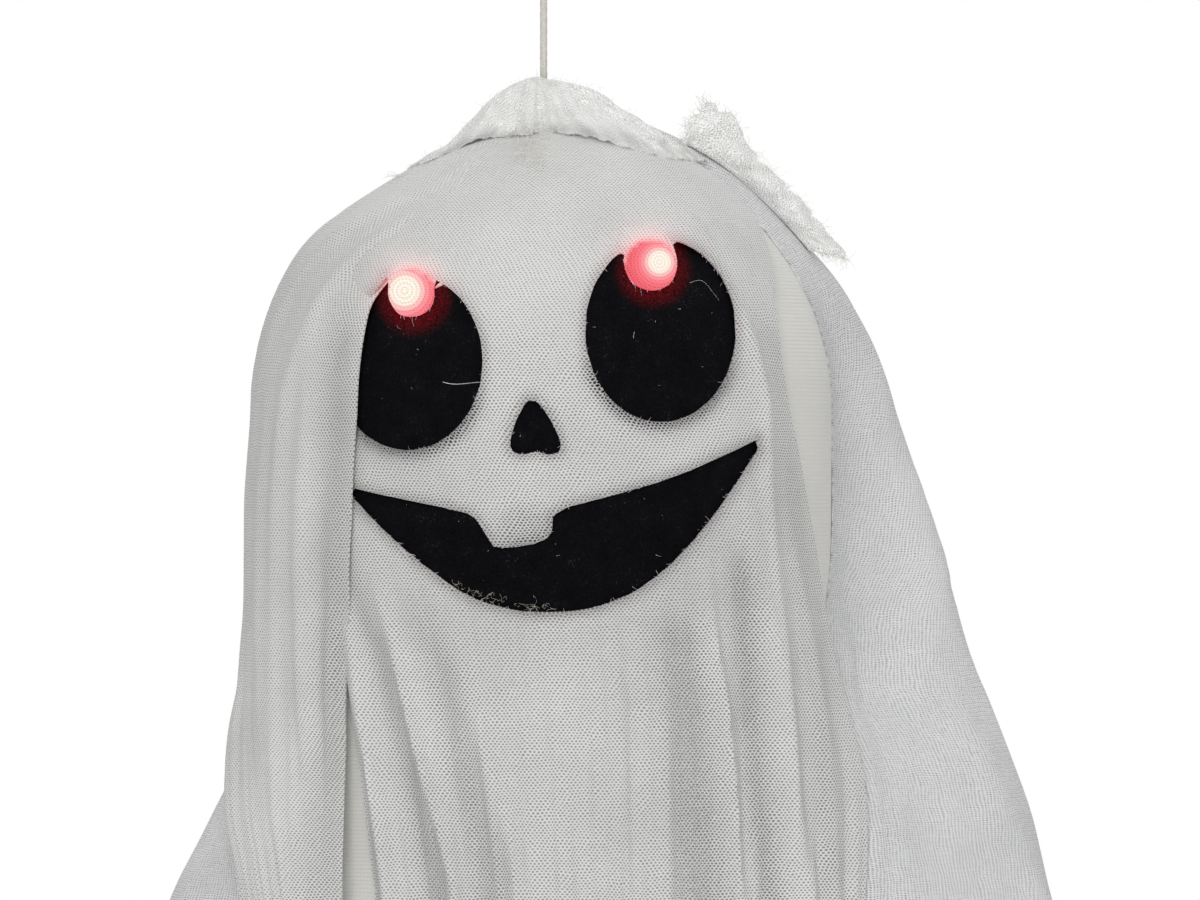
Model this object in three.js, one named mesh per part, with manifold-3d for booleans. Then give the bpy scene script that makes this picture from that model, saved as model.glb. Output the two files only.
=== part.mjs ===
// Hanging animated ghost. A cloth-covered plastic head with two red LEDs hangs on a cord, and a
// shaker box with cells, motor, gears and sound hangs from the head inside the cloth.
// Millimetres, +Z up. The face looks along -Y. Left and right are a viewer's.
import * as THREE from "three";
import Module from "manifold-3d";
import { mergeVertices } from "three/addons/utils/BufferGeometryUtils.js";

const wasm = await Module();
wasm.setup();

// Clearances
const gap = 0.3;
const layerGap = 0.6;
const runGap = 0.5;

// Cord: a loop for a hook at the top, its knot, and a straight stretch down to the crown
const cordDia = 1.7;
const cordSides = 8;
const loopHeight = 18;
const loopWidth = 10;
const knotDia = 6;
const cordDrop = 40;
const tailGap = 0.2;
const bendGap = 0.5;
const washerDia = 16;
const washerThick = 1.5;

// Head: a dome over a rounded chin
const headRadius = 69;
const headCentreX = 2.8;
const headDrop = 83;
const chinDrop = 72;
const chinPower = 2.6;
const headWall = 2;
const tabDepth = 5;
const tabHeight = 12;
const tabThick = 2;
const tabClear = 2.2;
const collarThick = 2;
const crownCollarRadius = 10;

// Cloth
const gownOffset = 0.3;
const gownThick = 0.9;
const feltOffset = 1.5;
const feltThick = 1;
const feltMargin = 3;
const faceOffset = 2.8;
const faceThick = 0.9;
const backOffset = 4.3;
const backThick = 0.9;
const sideOffset = 5.9;
const sideThick = 0.9;
const gauzeOffset = 7.6;
const gauzeThick = 0.8;
const gauzeHole = 2.5;
const gauzePeakAngle = 16;
const chinHug = 50.5;
const gownFall = 340;
const faceFall = 412;
const sideFall = 262;
const backFall = 419;

// Eyes, nose and mouth, from the photograph, in x and in drop below the crown tip
const eyeWidth = 37.5;
const leftEye = { x: -33.5, drop: 71.1, height: 43.8 };
const rightEye = { x: 29.3, drop: 63.3, height: 45.6 };
const eyeSteps = 22;
const noseOutline = [[-2.8, 79.6], [1, 83.5], [4.6, 90.5], [4.6, 93.4], [2, 94.4], [-1.4, 93.2],
  [-5, 94.4], [-7.9, 93.2], [-8, 90], [-5.6, 83.5]];
const mouthUpperLeft = [[-50.5, 102], [-47, 102.4], [-37, 104.8], [-19.5, 108], [-16.2, 109.6]];
const tooth = [[-12, 116.8], [-8.8, 117.3], [0.5, 115.6], [2.5, 113], [2.5, 109.2]];
const mouthUpperRight = [[14.2, 105.6], [34.2, 100], [53.5, 91.2]];
const mouthLower = [[53, 94], [46.8, 105.6], [36.8, 119.2], [24.2, 128], [9.2, 133], [-3.2, 133.4],
  [-15.8, 130.6], [-25.8, 125.4], [-39.5, 114.2], [-47.5, 105.2]];

// LEDs in sleeves behind the felt
const ledDia = 10;
const ledBody = 8;
const ledFlangeDia = 11.6;
const ledFlange = 1.2;
const ledProud = 7.5;
const sleeveWall = 1.3;
const sleeveLength = 16;
const leftLed = { x: -32.8, drop: 54.8 };
const rightLed = { x: 28, drop: 47.2 };
const leadDia = 1.8;
const leadSag = 10;
const leadNeckRise = 20;
const leadSteps = 16;

// Neck tube
const neckDia = 22;
const neckWall = 2;
const neckFlange = 4;
const neckFlangeThick = 2;
const neckLength = 34;
const neckInHead = 8;

// Shaker box
const boxWidth = 88;
const boxHeight = 98;
const boxWall = 2;
const boxFront = 20;
const boxBack = 20;
const splitY = -8;
const bossRadius = 4;
const bossInset = 6.5;
const screwRadius = 1.3;
const screwHeadRadius = 2.5;
const screwHeadThick = 1.8;
const screwLength = 16;
const counterbore = 12;

// Cells and their bay, open at the back
const cellDia = 14.2;
const cellLength = 49;
const nubDia = 5.4;
const nubLength = 1.3;
const cellPitch = 15.2;
const cellCount = 3;
const springLength = 4;
const springFootRadius = 5.4;
const springTipRadius = 2.4;
const plateThick = 0.8;
const bayWall = 3.5;
const bayFloor = 2;
const coverThick = 2;
const tongueDepth = 1.2;
const tongueThick = 1;
const gripCount = 4;
const gripPitch = 2.4;
const gripHeight = 1.1;
const gripHalf = 9;
const gripProud = 0.9;
const gripLow = 8;

// Drive
const gearModule = 0.8;
const pressureAngle = 25;
const pinionTeeth = 9;
const wheelTeeth = 36;
const addendum = 0.8;
const dedendum = 1.05;
const backlash = 0.12;
const wheelWidth = 2.6;
const pinionWidth = 3;
const axleRadius = 1;
const shaftRadius = 1.5;
const motorWidth = 20;
const motorHeight = 15;
const motorLength = 25;
const motorSide = 16;
const motorX = motorSide - boxWidth / 2;
const cradleHalf = 8;
const cradleThick = 1.5;
const cradleFront = 2;
const driveDrop = 20;
const driveGap = 0.6;
const plateY = -9.5;
const gearPlateThick = 1.5;
const weightRadius = 14;
const weightWidth = 15;
const weightHubRadius = 4;
const bearingProud = 2;
const axleBossRadius = 3;
const bearingDepth = 0.5;

// Sound and control
const speakerRadius = 17;
const speakerDepth = 8;
const speakerSide = 6;
const speakerX = speakerRadius + speakerSide + boxWall - boxWidth / 2;
const boardSide = 3;
const boardInner = 5;
const boardWidth = boxWidth / 2 - boxWall - boardSide - boardInner;
const boardHeight = 40;
const boardThick = 1.2;
const boardX = boardInner + boardWidth / 2;
const boardY = -6.8;
const boardPostInset = boardWidth / 2 - 4;
const boardPostRadius = 2;
const boardPostDrop = 6;
const chip = { from: -6, to: 4, low: -14, high: -6 };
const capacitor = { from: 7, to: 12, low: -12, high: -7 };
const chipProud = 1.5;
const capacitorProud = 3;
const micRadius = 3;
const micLength = 4;
const micWall = 1.5;
const micHole = 1;
const slotHalf = 11;
const slotCount = 6;
const slotPitch = 4;
const slotWidth = 1.6;

// Switch on the back, beside the battery cover
const switchWidth = 7;
const switchHeight = 14;
const switchDepth = 6;
const knobWidth = 2.4;
const knobHeight = 4;
const knobProud = 1.8;
const switchTravel = 4;

// Spreader wire that holds the cloth out
const wireDia = 2.5;
const wireY = 14;
const wireRise = 3.2;
const wireStraight = 48;
const wireFall = 155;
const wireTilt = -4;
const wireClear = 5;
const wireShoulder = { out: 14, down: 12 };
const wireBossHalf = 16;
const wireBossWall = 3.5;
const capDia = 8;
const capBore = 5;

// Places that follow from the sizes
const knotZ = -loopHeight;
const tipZ = knotZ - cordDrop;
const headZ = tipZ - headDrop;
const chinZ = headZ - chinDrop;
const collarRadius = neckDia / 2 + neckFlange + 1.5;
const neckTop = chinZ + neckInHead;
const neckBottom = neckTop - neckLength;
const boxTop = neckBottom + neckFlangeThick + gap + boxWall;
const boxBottom = boxTop - boxHeight;
const driveZ = boxTop - driveDrop;
const lowZ = (driveZ - weightRadius - runGap + boxBottom) / 2;
const bayTop = boxBottom + boxWall + bayFloor + cellLength + nubLength + springLength + plateThick * 2 + 1;
const bayBottom = boxBottom + boxWall + bayFloor;
const bayHalf = (cellPitch * cellCount) / 2 + gap;
const switchX = (bayHalf + bayWall + boxWidth / 2 - boxWall) / 2;

const steelGrey = 0xb8bbbf;
const brassYellow = 0xc9a24a;
const boxBlack = 0x1c1c1e;
const clothWhite = 0xdcdde0;
const gauzeWhite = 0xdedcd6;
const cordCream = 0xd9d4c8;
const feltBlack = 0x111112;
const ledRed = 0xff5a46;
const leadRed = 0x9c1d1d;
const gearWhite = 0xf0efe8;

function solidOf(geometry) {
  let shape = geometry.index ? geometry.toNonIndexed() : geometry.clone();
  shape.deleteAttribute("normal");
  shape.deleteAttribute("uv");
  shape = mergeVertices(shape, 1e-4);
  return new wasm.Manifold(new wasm.Mesh({
    numProp: 3,
    vertProperties: new Float32Array(shape.attributes.position.array),
    triVerts: new Uint32Array(shape.index.array),
  }));
}

function geometryOf(solid) {
  const mesh = solid.getMesh();
  const geometry = new THREE.BufferGeometry();
  geometry.setAttribute("position", new THREE.BufferAttribute(mesh.vertProperties, 3));
  geometry.setIndex(new THREE.BufferAttribute(mesh.triVerts, 1));
  geometry.computeVertexNormals();
  return geometry;
}

function block(x0, x1, y0, y1, z0, z1) {
  const geometry = new THREE.BoxGeometry(x1 - x0, y1 - y0, z1 - z0);
  return solidOf(geometry.translate((x0 + x1) / 2, (y0 + y1) / 2, (z0 + z1) / 2));
}

// Round bars along Y and along Z
function barY(radius, x, z, y0, y1, sides = 20) {
  const geometry = new THREE.CylinderGeometry(radius, radius, y1 - y0, sides);
  return solidOf(geometry.translate(x, (y0 + y1) / 2, z));
}

function barZ(radius, x, y, z0, z1, sides = 20) {
  const geometry = new THREE.CylinderGeometry(radius, radius, z1 - z0, sides).rotateX(Math.PI / 2);
  return solidOf(geometry.translate(x, y, (z0 + z1) / 2));
}

// A profile of [radius, z] points turned about Z, which starts and ends on the axis or closes
function turned(points, sides = 20) {
  const profile = points.map(([radius, z]) => new THREE.Vector2(radius, z));
  return solidOf(new THREE.LatheGeometry(profile, sides).rotateX(Math.PI / 2));
}

// An outline of [x, z] points made a prism from y0 to y1
function prism(outline, y0, y1) {
  const shape = new THREE.Shape(outline.map(([x, z]) => new THREE.Vector2(x, z)));
  const geometry = new THREE.ExtrudeGeometry(shape, { depth: y1 - y0, bevelEnabled: false });
  return solidOf(geometry.rotateX(Math.PI / 2).translate(0, y1, 0));
}

// A round tube along a curve
function tube(curve, dia, steps, sides = cordSides) {
  const shape = new THREE.Shape();
  for (let i = 0; i < sides; i += 1) {
    const turn = (i / sides) * Math.PI * 2;
    const [x, y] = [(Math.cos(turn) * dia) / 2, (Math.sin(turn) * dia) / 2];
    if (i === 0) shape.moveTo(x, y);
    else shape.lineTo(x, y);
  }
  return solidOf(new THREE.ExtrudeGeometry(shape, { steps, extrudePath: curve, bevelEnabled: false }));
}

function curveThrough(points) {
  return new THREE.CatmullRomCurve3(points.map((p) => new THREE.Vector3(...p)), false, "centripetal");
}

// A closed sheet between two grids of points. A wrapped one joins its last column to its first.
function sheetSolid(columns, rows, wrap, outer, inner) {
  const positions = [];
  const acrossCount = wrap ? columns : columns + 1;
  for (const place of [outer, inner]) {
    for (let j = 0; j <= rows; j += 1) {
      for (let i = 0; i < acrossCount; i += 1) positions.push(...place(i / columns, j));
    }
  }
  const inside = acrossCount * (rows + 1);
  const at = (i, j) => j * acrossCount + (i % acrossCount);
  const faces = [];
  const quad = (a, b, c, d) => faces.push(a, b, c, a, c, d);
  for (let j = 0; j < rows; j += 1) {
    for (let i = 0; i < columns; i += 1) {
      const [a, b, c, d] = [at(i, j), at(i + 1, j), at(i + 1, j + 1), at(i, j + 1)];
      quad(a, d, c, b);
      quad(inside + a, inside + b, inside + c, inside + d);
    }
  }
  for (let i = 0; i < columns; i += 1) {
    const [a, b, c, d] = [at(i, 0), at(i + 1, 0), at(i, rows), at(i + 1, rows)];
    quad(a, b, inside + b, inside + a);
    quad(d, c, inside + c, inside + d);
  }
  for (let j = 0; j < rows && !wrap; j += 1) {
    const [a, b, c, d] = [at(0, j), at(0, j + 1), at(columns, j), at(columns, j + 1)];
    quad(b, a, inside + a, inside + b);
    quad(c, d, inside + d, inside + c);
  }
  const geometry = new THREE.BufferGeometry();
  geometry.setAttribute("position", new THREE.Float32BufferAttribute(positions, 3));
  geometry.setIndex(faces);
  return solidOf(geometry);
}

// Straight-line reading of a table of [key, value] pairs
function read(table, key) {
  if (key <= table[0][0]) return table[0][1];
  for (let i = 1; i < table.length; i += 1) {
    const [k0, v0] = table[i - 1];
    const [k1, v1] = table[i];
    if (key <= k1) return v0 + ((v1 - v0) * (key - k0)) / (k1 - k0);
  }
  return table[table.length - 1][1];
}

function smooth(low, high, value) {
  const t = Math.min(1, Math.max(0, (value - low) / (high - low)));
  return t * t * (3 - 2 * t);
}

const radians = (degrees) => (degrees * Math.PI) / 180;

// The level below the head's centre of the lower head, and its half width there
function headHalfWidth(fall) {
  return headRadius * (1 - (fall / chinDrop) ** chinPower) ** (1 / chinPower);
}

// Cloth base form. Above the head's centre a row is an angle from the top, and below it a fall.
// The spreads are the cloth's half widths past the head's radius, at each fall.
const leftSpread = [[0, 0], [50.5, 0], [72, 2.5], [92, 6.5], [110, 14], [122.5, 21.5], [159, 40],
  [199, 46], [330, 44], [440, 40]];
const rightSpread = [[0, 0], [37, 0], [50.5, 0], [72, 6], [92, 20], [122.5, 37], [159, 52], [199, 56],
  [330, 54], [440, 50]];
const backSpread = [[0, 0], [72, 3], [122.5, 9], [199, 15], [440, 21]];
const frontSpread = [[0, 0], [21.5, 0.5], [41.5, 2], [72, 4.5], [149, 9.5], [340, 16]];

const domeAngles = [5, 17, 32, 47, 61, 75, 90];
const upperFalls = [15, 30, 42, 50.5, 72];
const lowerFalls = [92, 122.5, 159, 199, 290];

function baseRadius(azimuth, fall) {
  const side = Math.sin(radians(azimuth));
  const ahead = Math.cos(radians(azimuth));
  const half = headRadius + read(side < 0 ? leftSpread : rightSpread, fall);
  const front = headHalfWidth(Math.min(fall, chinHug)) + read(frontSpread, fall - chinHug);
  const depth = ahead > 0 ? front : headRadius + read(backSpread, fall);
  return 1 / Math.hypot(side / half, ahead / depth);
}

// A row of cloth is { angle } on the dome or { fall } below the head's centre
function clothRows(fromAngle, toFall) {
  const dome = domeAngles.filter((angle) => angle >= fromAngle).map((angle) => ({ angle }));
  const falls = [...upperFalls, ...lowerFalls].filter((fall) => fall < toFall);
  return [...dome, ...[...falls, toFall].map((fall) => ({ fall }))];
}

function rowFall(row) {
  return row.fall ?? -headRadius * Math.cos(radians(row.angle));
}

function clothPoint(azimuth, row, offset, centreX = headCentreX) {
  let across;
  let z;
  if (row.fall === undefined) {
    across = (headRadius + offset) * Math.sin(radians(row.angle));
    z = headZ + (headRadius + offset) * Math.cos(radians(row.angle));
  } else {
    across = baseRadius(azimuth, row.fall) + offset;
    z = headZ - row.fall;
  }
  return [centreX + across * Math.sin(radians(azimuth)), -across * Math.cos(radians(azimuth)), z];
}

// A fold runs down one column of a sheet, from where it starts to where it has its full height
function foldHeight(folds, column, fall) {
  const height = folds.columns[column] ?? 0;
  return height * smooth(folds.from, folds.full, fall);
}

function clothSheet(columns, rows, wrap, azimuthAt, outerOffset, thick) {
  const place = (depth) => (u, j) => {
    const fall = rowFall(rows[j]);
    const azimuth = azimuthAt(u, fall);
    return clothPoint(azimuth, rows[j], outerOffset(azimuth, fall, Math.round(u * columns)) - depth);
  };
  return sheetSolid(columns, rows.length - 1, wrap, place(0), place(thick));
}

const betweenEdges = (first, last) => (u, fall) => {
  const start = read(first, fall);
  return start + (read(last, fall) - start) * u;
};

const fullTurn = (u) => u * 360 - 180;
const gownColumns = 24;
const gownFolds = { from: 140, full: 300, columns: { 2: 5, 5: 6, 9: 5, 12: 4, 15: 5, 19: 6, 22: 5 } };

// The gown folds inwards, because the other layers hang close round it
function gown() {
  const rows = clothRows(5, gownFall);
  const offset = (azimuth, fall, column) => gownOffset + gownThick - foldHeight(gownFolds, column, fall);
  const sheet = clothSheet(gownColumns, rows, true, fullTurn, offset, gownThick);
  return [leftLed, rightLed].reduce((cut, led) => cut.subtract(ledCut(led, ledFlangeDia / 2 + gap)), sheet);
}

// Cut-outs and the felt behind them
function eyeOutline(eye, grow) {
  const outline = [];
  for (let i = 0; i < eyeSteps; i += 1) {
    const turn = (i / eyeSteps) * Math.PI * 2;
    const across = (eyeWidth / 2 + grow) * Math.cos(turn);
    outline.push([eye.x + across, tipZ - eye.drop + (eye.height / 2 + grow) * Math.sin(turn)]);
  }
  return outline;
}

const placed = (outline) => outline.map(([x, drop]) => [x, tipZ - drop]);

function grown(outline, by) {
  const turning = outline.reduce((sum, [x, z], i) => {
    const [nextX, nextZ] = outline[(i + 1) % outline.length];
    return sum + x * nextZ - nextX * z;
  }, 0);
  return outline.map(([x, z], i) => {
    const [beforeX, beforeZ] = outline[(i + outline.length - 1) % outline.length];
    const [afterX, afterZ] = outline[(i + 1) % outline.length];
    const out = new THREE.Vector2(afterZ - beforeZ, beforeX - afterX).normalize();
    out.multiplyScalar(turning > 0 ? by : -by);
    return [x + out.x, z + out.y];
  });
}

const mouthOutline = placed([...mouthUpperLeft, ...tooth, ...mouthUpperRight, ...mouthLower]);
const smileOutline = placed([...mouthUpperLeft, ...mouthUpperRight, ...mouthLower]);
const cutFront = -headRadius * 2;
const cutBack = -15;

function ledCut(led, radius, y0 = cutFront, y1 = cutBack) {
  return barY(radius, led.x, tipZ - led.drop, y0, y1);
}

// A felt piece is cut from a layer that goes all round the head
function felt(outline, led) {
  const rows = clothRows(17, chinDrop);
  const layer = clothSheet(gownColumns, rows, true, fullTurn, () => feltOffset + feltThick, feltThick);
  const piece = layer.intersect(prism(outline, cutFront, cutBack));
  return led ? piece.subtract(ledCut(led, ledDia / 2 + gap)) : piece;
}

// Face sheet: its edges by azimuth at each level, and its folds below the mouth. Its right edge lifts
// over the back drape.
const faceColumns = 20;
const faceLeftEdge = [[-69, -60], [-40, -54], [50.5, -50], [62, -41], [92, -36], [122.5, -29],
  [412, -26]];
const faceRightEdge = [[-69, 80], [-57, 78], [-27, 60], [0, 57], [24, 62], [50.5, 68], [72, 68],
  [92, 64], [122.5, 58], [199, 54], [412, 54]];
const faceFolds = { from: 60, full: 180, columns: { 1: 4, 3: 3.5, 5: 2, 7: 3, 10: 2, 14: 4, 16: 5 } };
const faceLift = backOffset + backThick + layerGap - faceOffset;
const liftBand = { from: 26, to: 12 };
const liftFall = { from: 15, full: 60 };

function faceSheet() {
  const rows = clothRows(17, faceFall);
  const offset = (azimuth, fall, column) => {
    const inward = read(faceRightEdge, fall) - azimuth;
    const lift = faceLift * smooth(liftBand.from, liftBand.to, inward)
      * smooth(liftFall.from, liftFall.full, fall);
    return faceOffset + faceThick + lift + foldHeight(faceFolds, column, fall);
  };
  const between = betweenEdges(faceLeftEdge, faceRightEdge);
  let piece = clothSheet(faceColumns, rows, false, between, offset, faceThick);
  const holes = [eyeOutline(leftEye, 0), eyeOutline(rightEye, 0), placed(noseOutline), mouthOutline];
  for (const hole of holes) piece = piece.subtract(prism(hole, cutFront, cutBack));
  for (const led of [leftLed, rightLed]) piece = piece.subtract(ledCut(led, ledDia / 2 + layerGap));
  return piece;
}

// Back drape: it stands off like a cape at the right and flares at the left below the side drape
const backRightEdge = [[-69, 96], [-55, 86], [-45, 82], [-30, 84], [-12, 92], [10, 92], [38, 84],
  [50.5, 77], [72, 64], [92, 58], [122.5, 50], [199, 46], [419, 46]];
const backLeftEdge = [[-69, 268], [50.5, 269], [72, 281], [92, 298], [122.5, 317], [159, 325], [419, 327]];
const capeSpread = [[-45, 0], [-27, 6], [0, 15.5], [22, 23.5], [47, 28], [72, 30], [92, 23], [122.5, 13],
  [199, 9], [419, 7]];
const capeFrom = [[38, 88], [85, 72]];
const capeFull = [[38, 104], [85, 97]];
const capeBack = { full: 106, end: 150 };
const flank = { lift: 2.2, from: 268, full: 290 };
const backColumns = 22;
const backFolds = { from: 20, full: 220, columns: { 5: 5, 7: 7, 9: 6, 11: 7, 13: 6, 15: 7, 17: 6, 19: 5 } };

function capeOffset(azimuth, fall) {
  const across = smooth(read(capeFrom, fall), read(capeFull, fall), azimuth)
    * smooth(capeBack.end, capeBack.full, azimuth);
  return read(capeSpread, fall) * across;
}

function backDrape() {
  const rows = clothRows(17, backFall);
  const offset = (azimuth, fall, column) => backOffset + backThick + capeOffset(azimuth, fall)
    + flank.lift * smooth(flank.from, flank.full, azimuth) + foldHeight(backFolds, column, fall);
  const between = betweenEdges(backRightEdge, backLeftEdge);
  return clothSheet(backColumns, rows, false, between, offset, backThick);
}

// Side drape: over the face sheet at the left, with its hem running off to a corner
const sideColumns = 9;
const sideFrontEdge = [[-69, -30], [-43, -36], [-27, -41.5], [0, -41.5], [50.5, -42], [72, -40.5],
  [92, -38], [122.5, -33], [262, -30]];
const sideBackEdge = [[-69, -110], [50.5, -106], [72, -98], [92, -76], [110, -60], [122.5, -52],
  [262, -40]];
const sideFolds = { from: -40, full: 60, columns: { 2: 2, 5: 2.5, 7: 2 } };
const sideLift = [[0, 0], [chinHug, 5], [122.5, 8]];

function sideDrape() {
  const rows = clothRows(17, sideFall);
  const offset = (azimuth, fall, column) => sideOffset + sideThick + read(sideLift, fall)
    + foldHeight(sideFolds, column, fall);
  const between = betweenEdges(sideBackEdge, sideFrontEdge);
  return clothSheet(sideColumns, rows, false, between, offset, sideThick);
}

// Crown gauze: a cap over the sheets, peaked where the cord draws it up
const gauzeColumns = 24;
const gauzeEdge = [[0, 20], [60, 28], [90, 31], [140, 36], [180, 37]];
const gauzeRows = [0, 0.12, 0.3, 0.55, 0.8, 1];
const peakHeight = headDrop - headRadius;

function crownGauze() {
  const place = (depth) => (u, j) => {
    const azimuth = fullTurn(u);
    const last = read(gauzeEdge, Math.abs(azimuth));
    const first = THREE.MathUtils.radToDeg(gauzeHole / headDrop);
    const angle = first + (last - first) * gauzeRows[j];
    const peak = (peakHeight - gauzeOffset - gauzeThick) * (1 - smooth(first, gauzePeakAngle, angle));
    const centreX = headCentreX * smooth(first, gauzePeakAngle, angle);
    return clothPoint(azimuth, { angle }, gauzeOffset + gauzeThick + peak - depth, centreX);
  };
  return sheetSolid(gauzeColumns, gauzeRows.length - 1, true, place(0), place(gauzeThick));
}

// Gauze tail: a strip that stands off the dome behind the crown at the right
const tailAzimuth = 97;
const tailFoot = { from: 34, to: 58 };
const tailRim = { from: 27, to: 63 };
const tailStand = { from: 19, to: 12 };
const tailThick = 1.6;
const tailBow = 2;
const tailSteps = 10;

function gauzeTail() {
  const place = (side) => (u, j) => {
    const foot = tailFoot.from + (tailFoot.to - tailFoot.from) * u;
    const rim = tailRim.from + (tailRim.to - tailRim.from) * u;
    const reach = j / 2;
    const footFall = -headRadius * Math.cos(radians(foot));
    const low = backOffset + backThick + gap + capeOffset(tailAzimuth, footFall);
    const high = tailStand.from + (tailStand.to - tailStand.from) * u;
    const angle = foot + (rim - foot) * reach;
    const [x, y, z] = clothPoint(tailAzimuth, { angle }, low + (high - low) * reach);
    return [x, y + side * (tailThick / 2) - tailBow * Math.sin(reach * Math.PI), z];
  };
  return sheetSolid(tailSteps, 2, false, place(1), place(-1));
}

// Cord, loop and knots. The loop is a drop that narrows to its knot.
const loopSteps = 18;

function hangLoop() {
  const half = (loopWidth - cordDia) / 2;
  const top = -cordDia / 2;
  const foot = knotZ + knotDia / 2 + gap * 2;
  const climb = top - foot;
  const side = [[cordDia * 0.76, foot], [half * 0.8, foot + climb * 0.3], [half, foot + climb * 0.6],
    [half * 0.62, foot + climb * 0.9]];
  const right = side.map(([x, z]) => [x, 0, z]);
  const left = [...side].reverse().map(([x, z]) => [-x, 0, z]);
  return tube(curveThrough([...right, [0, 0, top], ...left]), cordDia, loopSteps);
}

function ball(dia, z, sides = 12) {
  return solidOf(new THREE.SphereGeometry(dia / 2, sides, sides / 2).rotateX(Math.PI / 2).translate(0, 0, z));
}

function straightCord(top, bottom, steps) {
  const line = new THREE.LineCurve3(new THREE.Vector3(0, 0, top), new THREE.Vector3(0, 0, bottom));
  return tube(line, cordDia, steps);
}

const crownInner = headZ + headRadius - headWall - collarThick;
const washerTop = crownInner - gap;
const stopKnotZ = washerTop - washerThick - gap - knotDia / 2;

// Head shells
const headSides = 24;
const chinRows = [6, 2];

function headSolid(offset) {
  const profile = [[0, headZ + headRadius + offset]];
  for (const angle of domeAngles) {
    const [side, up] = [Math.sin(radians(angle)), Math.cos(radians(angle))];
    profile.push([(headRadius + offset) * side, headZ + (headRadius + offset) * up]);
  }
  const lowest = [chinDrop - chinRows[0], chinDrop - chinRows[1]];
  for (const fall of [...upperFalls.filter((level) => level < lowest[0]), ...lowest]) {
    const stretch = (chinDrop + offset) / chinDrop;
    profile.push([headHalfWidth(fall) + offset, headZ - fall * stretch]);
  }
  profile.push([0, headZ - chinDrop - offset]);
  const ordered = profile.slice(1, -1).sort((a, b) => b[1] - a[1]);
  return turned([profile[0], ...ordered, profile[profile.length - 1]].reverse(), headSides)
    .translate([headCentreX, 0, 0]);
}

const far = 300;
const inFront = (y) => block(-far, far, -far, y, -far * 2, far);
const behind = (y) => block(-far, far, y, far, -far * 2, far);

// A tab on the front shell that locates the back one, at the side of the head
function headTab(side) {
  const outer = headRadius - headWall - tabClear;
  const place = (from, to, y0, y1) => {
    const ends = [headCentreX + side * from, headCentreX + side * to].sort((a, b) => a - b);
    return block(...ends, y0, y1, headZ - tabHeight / 2, headZ + tabHeight / 2);
  };
  const tongue = place(outer - tabThick, outer, -tabDepth, tabDepth);
  return tongue.add(place(outer - tabThick, headRadius - headWall * 0.8, -tabDepth, -gap / 2));
}

function headShells() {
  const inside = headSolid(-headWall);
  const crown = barZ(crownCollarRadius, 0, 0, crownInner, headZ + headRadius - 1).intersect(headSolid(-0.5));
  const neckSeat = barZ(collarRadius, 0, 0, chinZ + 0.5, neckTop - neckFlangeThick - gap)
    .intersect(headSolid(-0.5));
  let whole = headSolid(0).subtract(inside).add(crown).add(neckSeat);
  whole = whole.subtract(barZ(cordDia / 2 + gap * 2, 0, 0, crownInner - 1, headZ + headRadius + 1, 12));
  whole = whole.subtract(barZ(neckDia / 2 + gap, 0, 0, chinZ - 1, neckTop + 1, 24));
  for (const led of [leftLed, rightLed]) {
    whole = whole.subtract(ledCut(led, ledDia / 2 + gap + sleeveWall + gap));
  }
  return {
    front: whole.intersect(inFront(-gap / 2)).add(headTab(-1)).add(headTab(1)),
    back: whole.intersect(behind(gap / 2)),
  };
}

// The head's front surface at a place, by which the LEDs and sleeves are set
function headFrontY(x, drop) {
  const up = headDrop - drop;
  return -Math.sqrt(headRadius ** 2 - (x - headCentreX) ** 2 - up ** 2);
}

function ledBulb(led) {
  const tip = headFrontY(led.x, led.drop) - ledProud;
  const radius = ledDia / 2;
  const profile = [[0, 0]];
  for (let i = 1; i <= 4; i += 1) {
    const turn = (i / 4) * (Math.PI / 2);
    profile.push([radius * Math.sin(turn), radius * (1 - Math.cos(turn))]);
  }
  const end = radius + ledBody;
  profile.push([radius, end], [ledFlangeDia / 2, end], [ledFlangeDia / 2, end + ledFlange],
    [0, end + ledFlange]);
  const solid = new THREE.LatheGeometry(profile.map(([r, y]) => new THREE.Vector2(r, y)), 14);
  return solidOf(solid.translate(led.x, tip, tipZ - led.drop));
}

function ledBack(led) {
  return headFrontY(led.x, led.drop) - ledProud + ledDia / 2 + ledBody;
}

function ledSleeve(led) {
  const inner = ledDia / 2 + gap;
  const seat = ledBack(led) - gap;
  const start = seat - sleeveLength;
  const outer = ledCut(led, inner + sleeveWall, start, seat);
  return outer.subtract(ledCut(led, inner, start - 1, seat + 1)).intersect(headSolid(0));
}

// Leads run from each LED down through the neck to the board
function eyeLead(led, side) {
  const start = ledBack(led) + ledFlange + gap;
  const z = tipZ - led.drop;
  const end = [side * 3, -3, boxTop - boxWall - 10];
  return tube(curveThrough([[led.x, start, z], [led.x, start + 4, z], [led.x * 0.9, start + 12, z - leadSag],
    [led.x * 0.5, -10, headZ - leadSag], [side * 5, -5, neckTop + leadNeckRise], [side * 3.6, -3, neckTop],
    [side * 3.6, -3, neckBottom], end]), leadDia, leadSteps, 6);
}

function neckTube() {
  const [outer, inner, flange] = [neckDia / 2, neckDia / 2 - neckWall, neckDia / 2 + neckFlange];
  return turned([[inner, neckBottom], [flange, neckBottom], [flange, neckBottom + neckFlangeThick],
    [outer, neckBottom + neckFlangeThick], [outer, neckTop - neckFlangeThick],
    [flange, neckTop - neckFlangeThick], [flange, neckTop], [inner, neckTop], [inner, neckBottom]], 18);
}

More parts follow.
